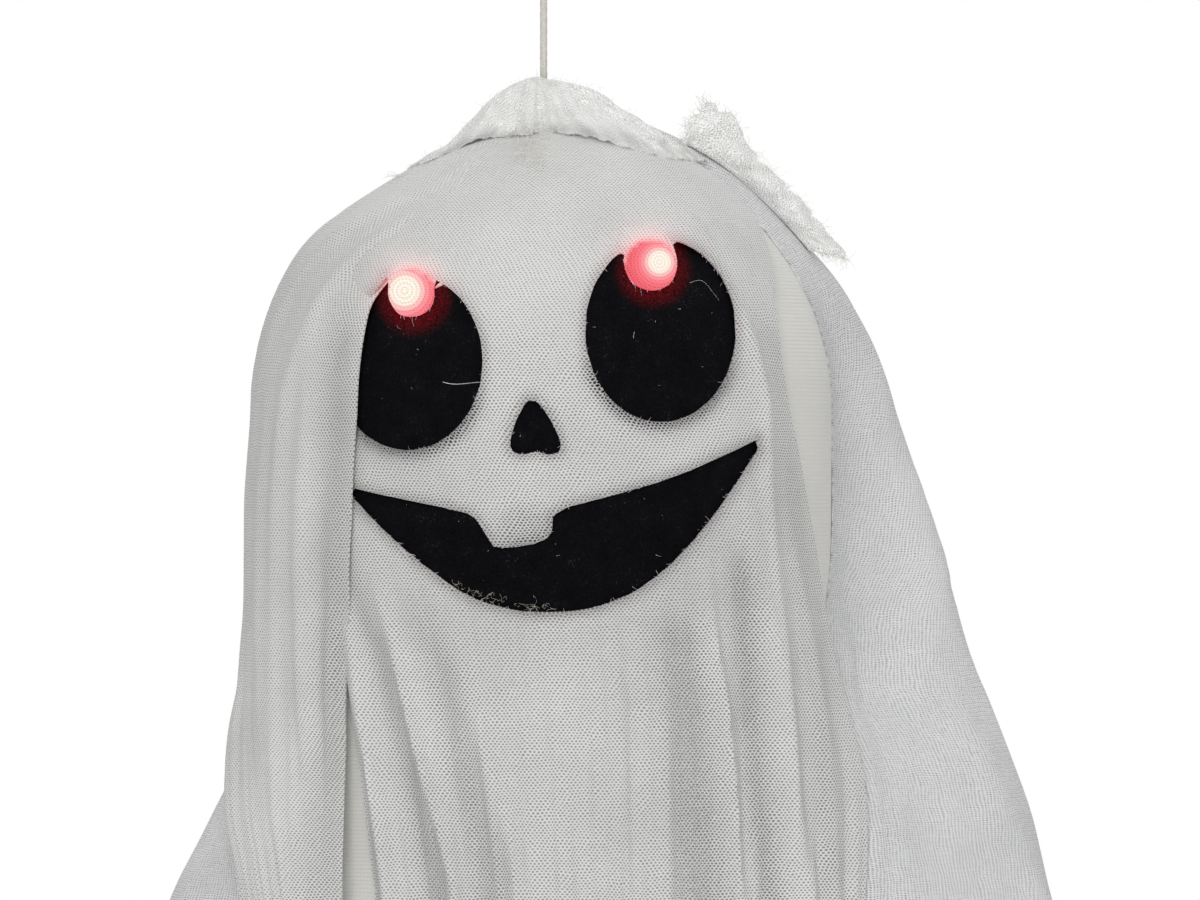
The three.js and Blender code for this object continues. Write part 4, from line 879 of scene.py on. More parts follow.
backSpec = {
    "first": [[-69, 96], [-55, 86], [-45, 82], [-30, 84], [-12, 92], [10, 92], [38, 84], [50.5, 77],
              [72, 64], [92, 58], [122.5, 50], [199, 46], [419, 46]],
    "last": [[-69, 268], [50.5, 269], [72, 281], [92, 298], [122.5, 317], [159, 325], [419, 327]],
    # how far it stands off at the right, and the azimuths where it starts to and does in full
    "cape": [[-45, 2.5], [-36, 5], [-27, 8.5], [-17, 10.6], [-12, 11.6], [0, 15.4], [12, 19.4], [22, 22.7],
             [32, 25.6], [42, 28.3], [52, 30.4], [62, 30.3], [72, 30.7], [92, 23.8], [102, 22], [122.5, 16],
             [199, 11], [419, 7]],
    "capeFrom": [[-30, 88], [-12, 95], [10, 95], [38, 88], [85, 72]],
    "capeFull": [[-12, 108], [10, 108], [38, 104], [85, 97]],
    "start": 9.0, "fall": 419.0, "columns": 170, "rowStep": 1.5, "offset": 4.75, "thick": 0.45,
    "spread": 330, "crinkle": 9.0, "crinkleHeight": (0.1, 0.6), "ragged": 2.4, "seed": 31,
    "foldsBy": "share",
    "folds": [{"line": [[0, share], [120, share + drift], [440, share + drift * 0.4]],
               "wide": wide, "high": high, "from": start, "full": 200, "grow": 0.9}
              for share, drift, wide, high, start in (
                  (0.227, 0.01, 6, 5, 20), (0.318, -0.012, 7, 6.5, 10), (0.409, 0.012, 5, 6, 25),
                  (0.5, -0.01, 7, 6.5, 5), (0.591, 0.01, 6, 6, 20), (0.682, -0.012, 7, 6.5, 15),
                  (0.773, 0.01, 5, 6, 30), (0.864, -0.006, 6, 5, 25), (0.13, 0.005, 4, 2.2, 60),
                  (0.365, 0.004, 3, 2.5, 90), (0.545, -0.004, 3, 2.4, 80), (0.728, 0.004, 3, 2.4, 90))]
             # the pale ridge beside the gown, and the shaded dip before it
             + [{"line": [[-60, 0.06], [0, 0.075], [60, 0.1], [120, 0.14], [440, 0.16]],
                 "wide": 4.5, "high": 2.0, "from": -50, "full": -5, "grow": 0.8}],
}

sideSpec = {
    "first": [[-69, -110], [50.5, -106], [72, -98], [92, -78], [110, -64], [122.5, -57], [262, -46]],
    "last": [[-69, -30], [-43, -35], [-33, -38], [-27, -41.5], [0, -41.5]]
            + turnsAt([(27, -47.8, 5.2), (42, -48.8, 5.4), (60, -49.6, 5.6), (72, -50, 5.9), (92, -50.2, 7),
                       (107, -50.3, 9), (122.5, -50.3, 11.5), (150, -50.3, 13)]) + [[262, -32]],
    "start": 9.0, "fall": 262.0, "columns": 84, "rowStep": 1.25, "offset": 6.35, "thick": 0.45,
    "spread": 90, "crinkle": 6.0, "crinkleHeight": (0.08, 0.4), "ragged": 2.0, "seed": 41,
    "foldsBy": "share",
    "folds": [
        {"line": [[-60, 0.24], [262, 0.22]], "wide": 4.5, "high": 2.0, "from": -40, "full": 60},
        {"line": [[-60, 0.52], [262, 0.55]], "wide": 5.0, "high": 2.4, "from": -40, "full": 60},
        {"line": [[-60, 0.78], [262, 0.8]], "wide": 3.2, "high": 1.9, "from": -30, "full": 60},
        {"line": [[-60, 0.92], [262, 0.93]], "wide": 2.2, "high": 1.2, "from": 0, "full": 70},
        {"line": [[-40, 0.9], [0, 0.93], [60, 0.95], [262, 0.95]], "wide": 6.0, "from": -32, "full": -14,
         "open": 0.75},
        # slanting folds from the crown down to the left
        {"line": [[-62, 0.95], [-40, 0.62], [0, 0.42], [60, 0.38]], "wide": 3.4, "high": 1.3, "from": -60,
         "full": -40},
        {"line": [[-62, 0.6], [-40, 0.36], [0, 0.2], [60, 0.16]], "wide": 3.0, "high": 1.1, "from": -58,
         "full": -30},
        {"line": [[-62, 1.1], [-40, 0.82], [0, 0.66], [60, 0.64]], "wide": 3.0, "high": 1.1, "from": -58,
         "full": -36},
    ],
}


def closeOnCrown(azimuth, level):
    # the cloth lies close at the left and the back of the crown
    turn = np.mod(azimuth, 360)
    around = eased(150, 200, turn) * (1 - eased(330, 358, turn))
    return around * eased(-46, -56, level)


def faceLift(azimuth, level, share):
    inward = lookUp(faceSpec["last"], level, 5.0) - azimuth
    return 3.0 * eased(-26, -12, -inward) * eased(15, 60, level) - 1.75 * closeOnCrown(azimuth, level)


def capeLift(azimuth, level, share):
    start = lookUp(backSpec["capeFrom"], level)
    full = lookUp(backSpec["capeFull"], level)
    across = eased(0, 1, (azimuth - start) / (full - start)) * (1 - eased(106, 150, azimuth))
    # its right edge lies on the gown down to the chin
    onGown = (1 - eased(0.0, 0.05, share)) * (1 - eased(84, 108, level))
    lift = lookUp(backSpec["cape"], level) * across + 0.4 * eased(268, 290, azimuth) - 3.45 * onGown
    return lift - 3.2 * closeOnCrown(azimuth, level)


def sideLift(azimuth, level, share):
    # above the eye it runs into the face sheet, and below that its front edge lies close on it
    free = 1 - eased(0.62, 0.99, share) * (1 - 0.5 * eased(70, 130, level))
    joined = 1 - eased(-33, -22, level)
    drop = 1.7 + 1.5 * joined
    spread = [[0, 0], [22, 1.5], [50.5, 1.1], [72, 0.2], [82, 1.4], [92, 3.6], [105, 6], [122.5, 8]]
    lift = lookUp(spread, level) * free - drop * (1 - free)
    lift = lift - 1.0 * (1 - eased(0, 0.12, share))
    close = eased(-36, -59, level)
    return lift * (1 - close) - (4.3 + 0.65 * (1 - free)) * close


glow = {
    # in mm: how far the light reaches past the knit over a lamp, how far from a cut the mesh is strained, and how
    # wide the painted shade along a cut is
    "reach": 1.7, "power": 0.9, "cut": 2.2, "eye": 3.2, "edgeShadeWidth": 1.5,
    "tooth": (-4.5, -170.5, 8, 6),      # its middle and its half sizes
}


def lampLight(points, grid):
    # how strongly the lamps light the knit, most just above each of them
    x, z, onFace = points[:, 0], points[:, 2], points[:, 1] < 0
    light = np.zeros(len(points))
    for lampX, drop, radius in cuts["tongues"]:
        away = np.hypot(x - lampX, z - (body["tip"] - drop))
        light += np.exp(-(np.clip(away - radius + 0.2, 0, None) / glow["reach"]) ** glow["power"]) * onFace
    nearHole = np.full(len(points), 1e9)
    for outline in (mouthOutline, noseOutline, leftCut, rightCut):
        gap, _, _ = nearestOnOutline(x, z, outline)
        nearHole = np.minimum(nearHole, np.where(onFace, gap, 1e9))
    strained = grid["opened"].ravel() + 0.35 * np.exp(-(nearHole / glow["cut"]) ** 2)
    toothX, toothZ, wide, tall = glow["tooth"]
    tooth = np.hypot((x - toothX) / wide, (z - toothZ) / tall)
    strained += 0.5 * np.exp(-tooth ** 4) * onFace
    strained += 0.3 * eased(-35, -5, grid["level"].ravel())
    for outline, eye in ((leftCut, cuts["leftEye"]), (rightCut, cuts["rightEye"])):
        gap, _, _ = nearestOnOutline(x, z, outline)
        under = eased(4, 14, body["tip"] - eye[1] - z) * onFace
        strained += 0.8 * np.exp(-(gap / glow["eye"]) ** 2) * under
    # painted shade: a band along each cut edge, left out where the lamps light the knit
    edgeShade = 0.4 * np.exp(-(nearHole / glow["edgeShadeWidth"]) ** 2) * (1 - np.clip(light, 0, 1))
    return {"lit": np.clip(light, 0, 1), "opened": strained, "edgeShade": edgeShade}


def sideLight(points, grid):
    # the lamps' light reaches the edge of the side drape too
    return {"lit": lampLight(points, grid)["lit"], "opened": grid["opened"].ravel(),
            "edgeShade": np.zeros(len(points))}


def sheetSize(piece, length):
    # the cut's width, from half the area of both faces of the cloth
    area = sum(face.area for face in piece.data.polygons) / 2
    print(piece.name, "is cut", round(area / length * 1000), "by", round(length * 1000), "mm")
    return (round(area / length, 3), length)


def makeSheets():
    lampHoles = [lampCircle(lamp, cuts["lampRadius"] + 1.1) for lamp in cuts["lamps"]]
    gown = makeSheet("gown_jersey", gownSpec, noLift, "inner_gown", finishes["gown"], lampHoles)
    sheetSize(gown, 0.45)
    print("gown is hung")
    outlines = (leftCut, rightCut, noseOutline, mouthOutline)
    holes = [unevenEdge(outline, seed) for seed, outline in enumerate(outlines, 1)]
    face = makeSheet("face_knit", faceSpec, faceLift, "face_sheet", finishes["face"], holes,
                     lampLight)
    sheetSize(face, 0.50)
    print("face sheet is hung and cut")
    back = makeSheet("back_knit", backSpec, capeLift, "back_drape", finishes["drape"])
    sheetSize(back, 0.51)
    side = makeSheet("side_knit", sideSpec, sideLift, "side_drape", finishes["face"], (), sideLight)
    sheetSize(side, 0.35)
    print("back and side drapes are hung")


makeSheets()


# loose threads: a thread is a thin three-sided tube, and a set of them is one mesh

def frontPoint(x, z, offset):
    # the point of the form at this x and z, on its front
    x, z = np.asarray(x, float), np.asarray(z, float)
    rise = z - body["headZ"]
    away = x - body["centreX"]
    dome = np.sqrt(np.clip((body["radius"] + offset) ** 2 - rise ** 2, 4.0, None))
    azimuth = np.degrees(np.arcsin(np.clip(away / dome, -0.98, 0.98)))
    for _ in range(6):
        reach = np.where(rise > 0, dome, formRadius(azimuth, np.clip(-rise, 0, None)) + offset)
        azimuth = np.degrees(np.arcsin(np.clip(away / reach, -0.98, 0.98)))
    return np.stack([x, -reach * np.cos(np.radians(azimuth)), z], -1)


def threadSet(name, strands, finish):
    # each strand is its line and its radius
    verts, faces = [], []
    for line, radius in strands:
        line = np.asarray(line, float)
        ahead = np.gradient(line, axis=0)
        ahead /= np.linalg.norm(ahead, axis=1)[:, None] + 1e-9
        side = np.cross(ahead, [0.31, 0.87, 0.38])
        side /= np.linalg.norm(side, axis=1)[:, None] + 1e-9
        up = np.cross(ahead, side)
        start = len(verts)
        for k, point in enumerate(line):
            slim = radius * (1 - 0.45 * k / (len(line) - 1))
            for turn in (0, 2.094, 4.189):
                verts.append(point + slim * (math.cos(turn) * side[k] + math.sin(turn) * up[k]))
        for k in range(len(line) - 1):
            low = start + 3 * k
            for s in range(3):
                t = (s + 1) % 3
                faces.append((low + s, low + t, low + 3 + t, low + 3 + s))
        faces.append((start + 2, start + 1, start))
        end = start + 3 * (len(line) - 1)
        faces.append((end, end + 1, end + 2))
    return finishPiece(makeMesh(name, verts, faces), "figure", finish, smooth=80)


def curled(start, aim, length, pick, curl=0.5, drop=0.0, steps=6):
    # a loose thread from a point, which bends away from its aim as it goes
    aim = np.asarray(aim, float)
    aim = aim / np.linalg.norm(aim)
    bend = pick.normal(0, 1, 3)
    points = [np.asarray(start, float)]
    for k in range(steps):
        aim = aim + bend * curl / steps + np.array([0, 0, -drop / steps])
        bend = bend + pick.normal(0, 0.5, 3)
        aim /= np.linalg.norm(aim)
        points.append(points[-1] + aim * length / steps)
    return points


def layThread(pairs, offset, steps=26):
    # a thread that lies on the cloth, through these x and z
    pairs = np.array(pairs, float)
    t = np.linspace(0, len(pairs) - 1, steps)
    x = np.interp(t, range(len(pairs)), pairs[:, 0])
    z = np.interp(t, range(len(pairs)), pairs[:, 1])
    for _ in range(steps):
        x[1:-1] = (x[:-2] + x[1:-1] * 2 + x[2:]) / 4
        z[1:-1] = (z[:-2] + z[1:-1] * 2 + z[2:]) / 4
    return frontPoint(x, z, offset)


def threadMaterial(name, light, dark):
    # single spun fibres: dull, paler than the cloth because no hole darkens them
    material, tree, shader, place = startMaterial(name, {"Roughness": 0.85, "Sheen Weight": 0.2})
    speck = noise(tree, place, 1 / 0.7, 1.0)
    setInputs(tree, shader, {"Base Color": colourRamp(tree, speck, (0.0, dark), (1.0, light))})
    return material


finishes["strands"] = threadMaterial("loose gauze fibres", "#F3F2EE", "#DEDBD4")
finishes["fibres"] = threadMaterial("loose knit fibres", "#EDEDEE", "#CFCFD2")
finishes["creamFibres"] = threadMaterial("yellowed fibres", "#E9E4D2", "#B9B198")


# crown gauze and its tail

gauze = {
    "edge": [[-180, 37], [-140, 36], [-100, 32], [-66, 29], [-58, 18], [-43, 13.6], [-5, 15], [15, 19.6],
             [33, 24.4], [54, 29.4], [90, 31], [140, 36], [180, 37]],
    "hole": 2.5,
    # how far it stands off the form by the angle from the crown, at the left and at the right
    "leftPeak": [[0, 14.6], [2, 15.4], [6, 13.2], [12.5, 9.4], [15.7, 6.6], [18.7, 4.4], [21.3, 3.1], [27, 0]],
    "rightPeak": [[0, 14.6], [2, 14.6], [4.7, 13.6], [8.2, 12.2], [10, 11], [12, 8.9], [13.3, 8.3],
                  [17, 6.6], [23, 4.8], [30, 0]],
    # how far its edge stands off the form, by azimuth, so that it lies on the sheets
    "lies": [[-180, 5.4], [-38, 4.2], [-18, 3.7], [72, 3.75], [95, 5.2], [180, 5.4]],
    "peakTo": 16.0, "rows": 54, "columns": 300, "pleats": 0.5, "ragged": 0.5, "thick": 0.35,
    # the wisps' thread counts, and where they lie
    "fuzz": 520, "browWisp": (170, -6.5, 0.3, -78.5, -69.0), "rimWisp": (26, -39.5, -34.0, -81.6),
    "tail": {"azimuth": 97.0, "foot": (25.5, 58), "rim": (26.5, 63), "bow": 2.0, "columns": 90, "rows": 40,
             "stand": [[0, 18.5], [0.11, 19.4], [0.17, 17.8], [0.29, 14], [0.45, 13.2], [0.8, 14], [1, 15.4]]},
}


def crownPoints():
    columns, rows = gauze["columns"], gauze["rows"]
    azimuth = np.linspace(-180, 180, columns, endpoint=False)
    share = np.linspace(0, 1, rows)
    first = math.degrees(gauze["hole"] / 83.0)
    last = lookUp(gauze["edge"], azimuth, 5.0)
    last = last + gauze["ragged"] * waves(azimuth * 0.6, 0 * azimuth, 51, 6, 900, 12)
    azimuth, share = np.meshgrid(azimuth, share)
    angle = first + (last[None, :] - first) * share ** 0.9
    turn = np.radians(azimuth)
    pleats = np.sin(turn * 17 + 2.2 * np.sin(turn * 3) + angle * 0.05)
    pleats = pleats + 0.6 * np.sin(turn * 29 + 1.3 + angle * 0.09)
    grow = eased(first, 12, angle) * (1 - 0.55 * eased(16, 34, angle))
    # the rim lies on the sheets, and over the brow the cap comes down to them sooner
    close = closeOnCrown(azimuth, -60 + 0 * angle)
    lies = np.interp(azimuth, *zip(*gauze["lies"])) * (1 - close) + 2.5 * close
    right = eased(-40, 40, np.degrees(np.arcsin(np.sin(turn))))
    peak = lookUp(gauze["leftPeak"], angle, 1.0) * (1 - right) + lookUp(gauze["rightPeak"], angle, 1.0) * right
    short = eased(25, 15, last)[None, :]
    peak = np.maximum(peak, lies)
    offset = lies + (peak - lies) * (1 - short * eased(4.5, np.maximum(last - 1.0, 6)[None, :], angle))
    offset = offset + gauze["pleats"] * pleats * grow * (1 - 0.7 * eased(0.75, 1.0, share))
    offset = offset + 0.3 * waves(azimuth * 1.2, angle * 1.2, 52, 5, 9) * eased(first, 9, angle)
    centreX = body["centreX"] * eased(first, gauze["peakTo"], angle)
    return clothPoint(azimuth, angle, offset, centreX), azimuth


def tailPoints(u, reach, side=0.0):
    tail = gauze["tail"]
    foot = tail["foot"][0] + (tail["foot"][1] - tail["foot"][0]) * u
    rim = tail["rim"][0] + (tail["rim"][1] - tail["rim"][0]) * u
    azimuth = tail["azimuth"] + 0 * u
    low = 5.5 + capeLift(azimuth, -body["radius"] * np.cos(np.radians(foot)), u)
    high = lookUp(tail["stand"], u, 0.03)
    points = clothPoint(azimuth, foot + (rim - foot) * reach, low + (high - low) * reach)
    points[..., 1] += side - tail["bow"] * np.sin(reach * math.pi)
    return points


def makeGauze():
    points, azimuth = crownPoints()
    rows, columns = azimuth.shape
    edgePoints, innerPoints = points[-1].copy(), points[-4].copy()
    # a doubled column closes the ring without tearing the pattern
    points = np.concatenate([points, points[:, :1]], 1)
    uvs = clothCoordinates(points).reshape(-1, 2)
    nearRim = np.repeat(eased(0.62, 0.97, np.linspace(0, 1, rows)), columns + 1)
    loose = waves(uvs[:, 0], uvs[:, 1], 53, 9, 14)
    piece = makeMesh("crown_gauze_cap", points.reshape(-1, 3), gridFaces(rows, columns + 1), uvs,
                     {"opened": 0.25 + 0.25 * loose, "faded": np.clip(nearRim * (0.45 + 0.2 * loose), 0, 0.7)})
    finishCloth(piece, gauze["thick"], finishes["gauze"], merge=0.02)
    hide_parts("crown_gauze")

    pick = np.random.default_rng(61)
    strands = []
    for k in range(columns):
        away = edgePoints[k] - innerPoints[k]
        start = edgePoints[k] - away * pick.uniform(0.0, 0.8) + pick.normal(0, 0.2, 3)
        strands.append((curled(start, away + pick.normal(0, 0.5, 3), pick.uniform(0.5, 1.8), pick, 1.0, 0.3),
                        pick.uniform(0.03, 0.06)))
    flat = points[:, :-1].reshape(-1, 3)
    for k in pick.integers(columns * 3, len(flat) - columns * 4, gauze["fuzz"]):
        # fuzz lying on the gauze and lifting off it
        out = flat[k] - np.array([body["centreX"], 0, body["headZ"]])
        out /= np.linalg.norm(out)
        aim = np.cross(out, pick.normal(0, 1, 3)) + out * pick.uniform(0.05, 0.5)
        strands.append((curled(flat[k] + out * 0.15, aim, pick.uniform(1.2, 4), pick, 1.6),
                        pick.uniform(0.04, 0.08)))
    # a thin wisp over the brow, and one at the left end of the rim
    count, left, right, low, high = gauze["browWisp"]
    for _ in range(count):
        start = np.array([pick.uniform(left, right), pick.uniform(low, high)])
        aim = pick.normal(0, 0.7, 2) + np.array([0.1, -0.7])
        ends = start + aim / np.linalg.norm(aim) * pick.uniform(2, 5.5)
        bend = (start + ends) / 2 + pick.normal(0, 0.8, 2)
        strands.append((layThread([start, bend, ends], pick.uniform(4.4, 5.2), 9), pick.uniform(0.03, 0.055)))
    count, left, right, level = gauze["rimWisp"]
    for _ in range(count):
        start = np.array([pick.uniform(left, right), level + pick.normal(0, 0.3)])
        ends = start + np.array([-pick.uniform(0.8, 2.6), -pick.uniform(-0.2, 0.9)])
        bend = (start + ends) / 2 + pick.normal(0, 0.25, 2)
        strands.append((layThread([start, bend, ends], 2.9, 7), pick.uniform(0.03, 0.055)))
    fuzz = threadSet("crown_gauze_fuzz", strands, finishes["strands"])
    sheetSize(piece, 0.09)
    print("crown gauze is gathered")


def makeTail():
    pick = np.random.default_rng(71)
    tail = gauze["tail"]
    last, rim = tail["columns"] - 1, tail["rows"] - 1
    u, reach = np.meshgrid(np.linspace(0, 1, tail["columns"]), np.linspace(0, 1, tail["rows"]))
    across, up = u * 32, reach * 12
    plies = []
    for ply, shift in enumerate((-0.95, 0.95)):
        ragged = 0.10 * waves(across, 0 * u, 72 + ply, 4, 900, 10)
        points = tailPoints(u, np.clip(reach * (0.93 + ragged), 0, 1.0), shift)
        ripple = waves(across, up, 74 + ply, 4.5, 10)
        points[..., 1] += 0.45 * ripple * eased(0.05, 0.5, reach) - shift * 0.7 * eased(0.6, 1.0, reach)
        points[..., 0] += 0.25 * waves(across, up, 76 + ply, 6, 8) * eased(0.1, 0.6, reach)
        plies.append(points)
    outer = np.concatenate([plies[0], plies[1][::-1]], 0)
    uvs = clothCoordinates(outer).reshape(-1, 2)
    rows, columns = outer.shape[:2]
    end = (rows - 1) * columns
    foot = [(k, k + 1, end + k + 1, end + k) for k in range(columns - 1)]
    piece = makeMesh("gauze_tail_strip", outer.reshape(-1, 3), gridFaces(rows, columns) + foot, uvs,
                     {"opened": np.clip(0.3 + 0.3 * waves(uvs[:, 0], uvs[:, 1], 77, 7, 9), 0, 1)})
    finishCloth(piece, gauze["thick"], finishes["gauze"])
    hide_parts("gauze_tail")

    strands = []
    for ply in plies:
        for k in range(tail["columns"]):
            for _ in range(2):
                j = rim - int(pick.integers(0, 6))
                away = ply[rim, k] - ply[rim // 2 + 1, k]
                lean = 1.6 * (k / last - 0.5)
                aim = away / np.linalg.norm(away) + np.array([lean * 0.3, 0, -lean * 0.6])
                aim = aim + pick.normal(0, 0.35, 3)
                length = pick.uniform(0.6, 1.0) * pick.choice([1.2, 1.6, 4])
                strands.append((curled(ply[j, k], aim, length, pick, 1.1, 0.2), pick.uniform(0.04, 0.08)))
        for j in range(8, tail["rows"]):
            for k, way in ((0, -1), (last, 1)):
                along = ply[j, last - 1] - ply[j, 1]
                aim = way * along / np.linalg.norm(along) + pick.normal(0, 0.4, 3)
                strands.append((curled(ply[j, k], aim, pick.uniform(1.2, 4.5), pick, 1.1, 0.25),
                                pick.uniform(0.04, 0.09)))
        for _ in range(80):
            # fuzz on its faces
            j, k = int(pick.integers(4, rim - 1)), int(pick.integers(2, last - 1))
            aim = pick.normal(0, 1, 3) * np.array([1, 0.35, 1])
            strands.append((curled(ply[j, k], aim, pick.uniform(1.5, 5), pick, 1.5), pick.uniform(0.04, 0.07)))
    fringe = threadSet("gauze_tail_fringe", strands, finishes["strands"])
    sheetSize(piece, 0.032)
    print("gauze tail is frayed")


makeGauze()
makeTail()


# felt behind the cut-outs

# mm; curve is how much longer a patch is than its outline, seen from the front, because it bends round the head
felt = {"offset": 2.0, "thick": 1.0, "step": 0.9, "curve": 1.12}


def feltMaterial():
    # needle-punched black felt: very dull, with tangled fibres, pale lint, and red light round the lamps
    material, tree, shader, place = startMaterial("black needle felt", {
        "Roughness": 0.97, "Specular IOR Level": 0.06, "Emission Color": "#7A0009"})
    tangle = noise(tree, place, 0.55, 4.0, 0.75)
    both = maths(tree, "MULTIPLY_ADD", noise(tree, place, 5.0, 2.0), 0.3, tangle)
    tone = colourRamp(tree, both, (0.45, "#020203"), (0.8, "#101013"), (0.93, "#4A4A4E"))
    glows = [remap(tree, fromSpot(tree, place, x + 0.6, drop + 0.8), 0.0108, 0.0058, 0.0, 0.8, soft=True)
             for x, drop, _ in cuts["tongues"]]
    tufts = remap(tree, tangle, 0.38, 0.68, 0.06)
    setInputs(tree, shader, {"Base Color": tone, "Normal": bumped(tree, tangle, 0.8, 0.25),
                             "Emission Strength": maths(tree, "MULTIPLY", maths(tree, "ADD", *glows), tufts)})
    return material


finishes["felt"] = feltMaterial()


def feltPatch(name, outline, replaced, lamp=None):
    xs, zs = zip(*outline)
    step = felt["step"]
    x, z = np.meshgrid(np.arange(min(xs) - step, max(xs) + 2 * step, step),
                       np.arange(min(zs) - step, max(zs) + 2 * step, step))
    rows, columns = x.shape
    x, z = x.ravel(), z.ravel()
    inside = insideOutline(x, z, outline)
    corners = np.array(gridFaces(rows, columns))
    kept = corners[inside[corners].sum(1) >= 2]
    used = np.unique(kept)
    counts = np.zeros(len(x), int)
    np.add.at(counts, kept.ravel(), 1)
    rim = used[(counts[used] < 4) | ~inside[used]]
    _, x[rim], z[rim] = nearestOnOutline(x[rim], z[rim], outline)
    points = frontPoint(x, z, felt["offset"])
    points[:, 1] += 0.12 * waves(x, z, len(name), 6, 7)
    faces = [tuple(f) for f in kept.tolist()]
    if lamp:
        points, faces = cutHoles(points, faces, [lampCircle(lamp, cuts["lampRadius"] + 0.3)])
    piece = makeMesh(name, points, faces)
    finishCloth(piece, felt["thick"], finishes["felt"], smooth=60, merge=0.05)
    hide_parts(replaced)


def grownOutline(outline, by):
    points = np.array(outline)
    closed = np.concatenate([points, points[:1]])
    turning = np.sum(closed[:-1, 0] * closed[1:, 1] - closed[1:, 0] * closed[:-1, 1])
    return [tuple(p) for p in points + outlineNormals(points) * (by if turning > 0 else -by)]


def makeFelt():
    margin = cuts["margin"]
    feltPatch("felt_left", eyeOutline(cuts["leftEye"], margin), "felt_eye_left", cuts["lamps"][0])
    feltPatch("felt_right", eyeOutline(cuts["rightEye"], margin), "felt_eye_right", cuts["lamps"][1])
    feltPatch("felt_of_nose", grownOutline(noseOutline, margin), "felt_nose")
    feltPatch("felt_of_mouth", grownOutline(smileOutline, margin * 0.9), "felt_mouth")
    print("felt is laid")


makeFelt()


# eye lamps: 10 mm domes of clear resin with a red chip

# mm: the dome's radius, the flange's radius and its depth
lampSpec = {"radius": 5.0, "flange": 5.8, "flangeDeep": 1.2, "rings": 12, "sides": 48}


def lampMaterial(name, lamp, chipX, chipZ):
    # clear epoxy, lit from inside: a cream-white chip, fine rings round it, and red out to the rim
    material, tree, shader, place = startMaterial(name, {"Roughness": 0.12, "IOR": 1.54, "Base Color": "#8E1418"})
    away = fromSpot(tree, place, lamp[0] + chipX, lamp[1] - chipZ)
    tone = colourRamp(tree, remap(tree, away, 0.0, 7.5 * mm), (0.26, "#FFF8E8"), (1.0, "#F23C46"),
                      (0.36, "#FFE0D0"), (0.46, "#FFA8A2"), (0.6, "#FF787A"), (0.82, "#FF5C66"))
    dots = addNode(tree, "TexVoronoi", {"Vector": place, "Scale": 1000 / 0.42}).outputs["Distance"]
    rings = maths(tree, "SINE", maths(tree, "MULTIPLY", away, 2 * math.pi / (0.9 * mm)))
    strength = remap(tree, maths(tree, "MULTIPLY_ADD", rings, 0.12, dots), 0.0, 0.9, 1.1, 0.62)
    setInputs(tree, shader, {"Emission Color": tone, "Emission Strength": strength,
                             "Normal": bumped(tree, dots, 0.25, 0.1)})
    return material


def makeLamp(name, replaced, lamp, chipX, chipZ):
    # a dome towards the front, its barrel and its flange, turned about the lamp's axis
    low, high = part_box(replaced)
    front, back = low[1] / mm, high[1] / mm
    radius, wide, neck = lampSpec["radius"], lampSpec["flange"], back - lampSpec["flangeDeep"]
    steps = np.linspace(0, math.pi / 2, lampSpec["rings"] + 1)[1:]
    profile = [(radius * math.sin(a), front + radius - radius * math.cos(a)) for a in steps]
    profile += [(radius, neck), (wide, neck), (wide, back)]
    x, z, sides = lamp[0], body["tip"] - lamp[1], lampSpec["sides"]
    verts, faces = [(x, front, z)], []
    for reach, y in profile:
        verts += [(edgeX, y, edgeZ) for edgeX, edgeZ in ellipse(x, z, reach, reach, sides)]
    for s in range(sides):
        t = (s + 1) % sides
        faces.append((0, 1 + s, 1 + t))
        for near in range(1, len(verts) - sides, sides):
            far = near + sides
            faces.append((near + s, near + t, far + t, far + s))
    faces.append(tuple(range(len(verts) - sides, len(verts))))
    piece = makeMesh(name, verts, faces)
    turnOutward(piece)
    finish = lampMaterial(name.replace("_", " ") + ", lit resin", lamp, chipX, chipZ)
    finishPiece(piece, "figure", finish, smooth=40)
    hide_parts(replaced)


makeLamp("lamp_left", "led_left", cuts["lamps"][0], -1.7, 0.9)
makeLamp("lamp_right", "led_right", cuts["lamps"][1], 1.2, 1.0)
print("eye lamps are lit")


# stray threads on the face, and the frayed hems

strays = [
    # the x and z that a thread runs through, how far off the form it lies, and its radius
    ([(-24.6, -134.2), (-22.0, -134.9), (-18.5, -134.5), (-15.2, -134.2)], 2.9, 0.07),
    ([(36.5, -109.5), (39.5, -108.2), (41.6, -110.8), (43.8, -113.8)], 2.75, 0.03),
    ([(46.2, -166.0), (47.0, -168.5), (45.8, -171.6), (44.1, -173.4)], 2.75, 0.03),
    ([(21.5, -106.5), (24.0, -109.0), (24.6, -113.0)], 2.75, 0.025),
]
# the mouth's lower edge, where yellowed fibres stand
fibreEdge = [(-22.5, -184.0), (-17.0, -187.4), (-11.0, -189.6), (-4.0, -190.8), (1.0, -190.8)]


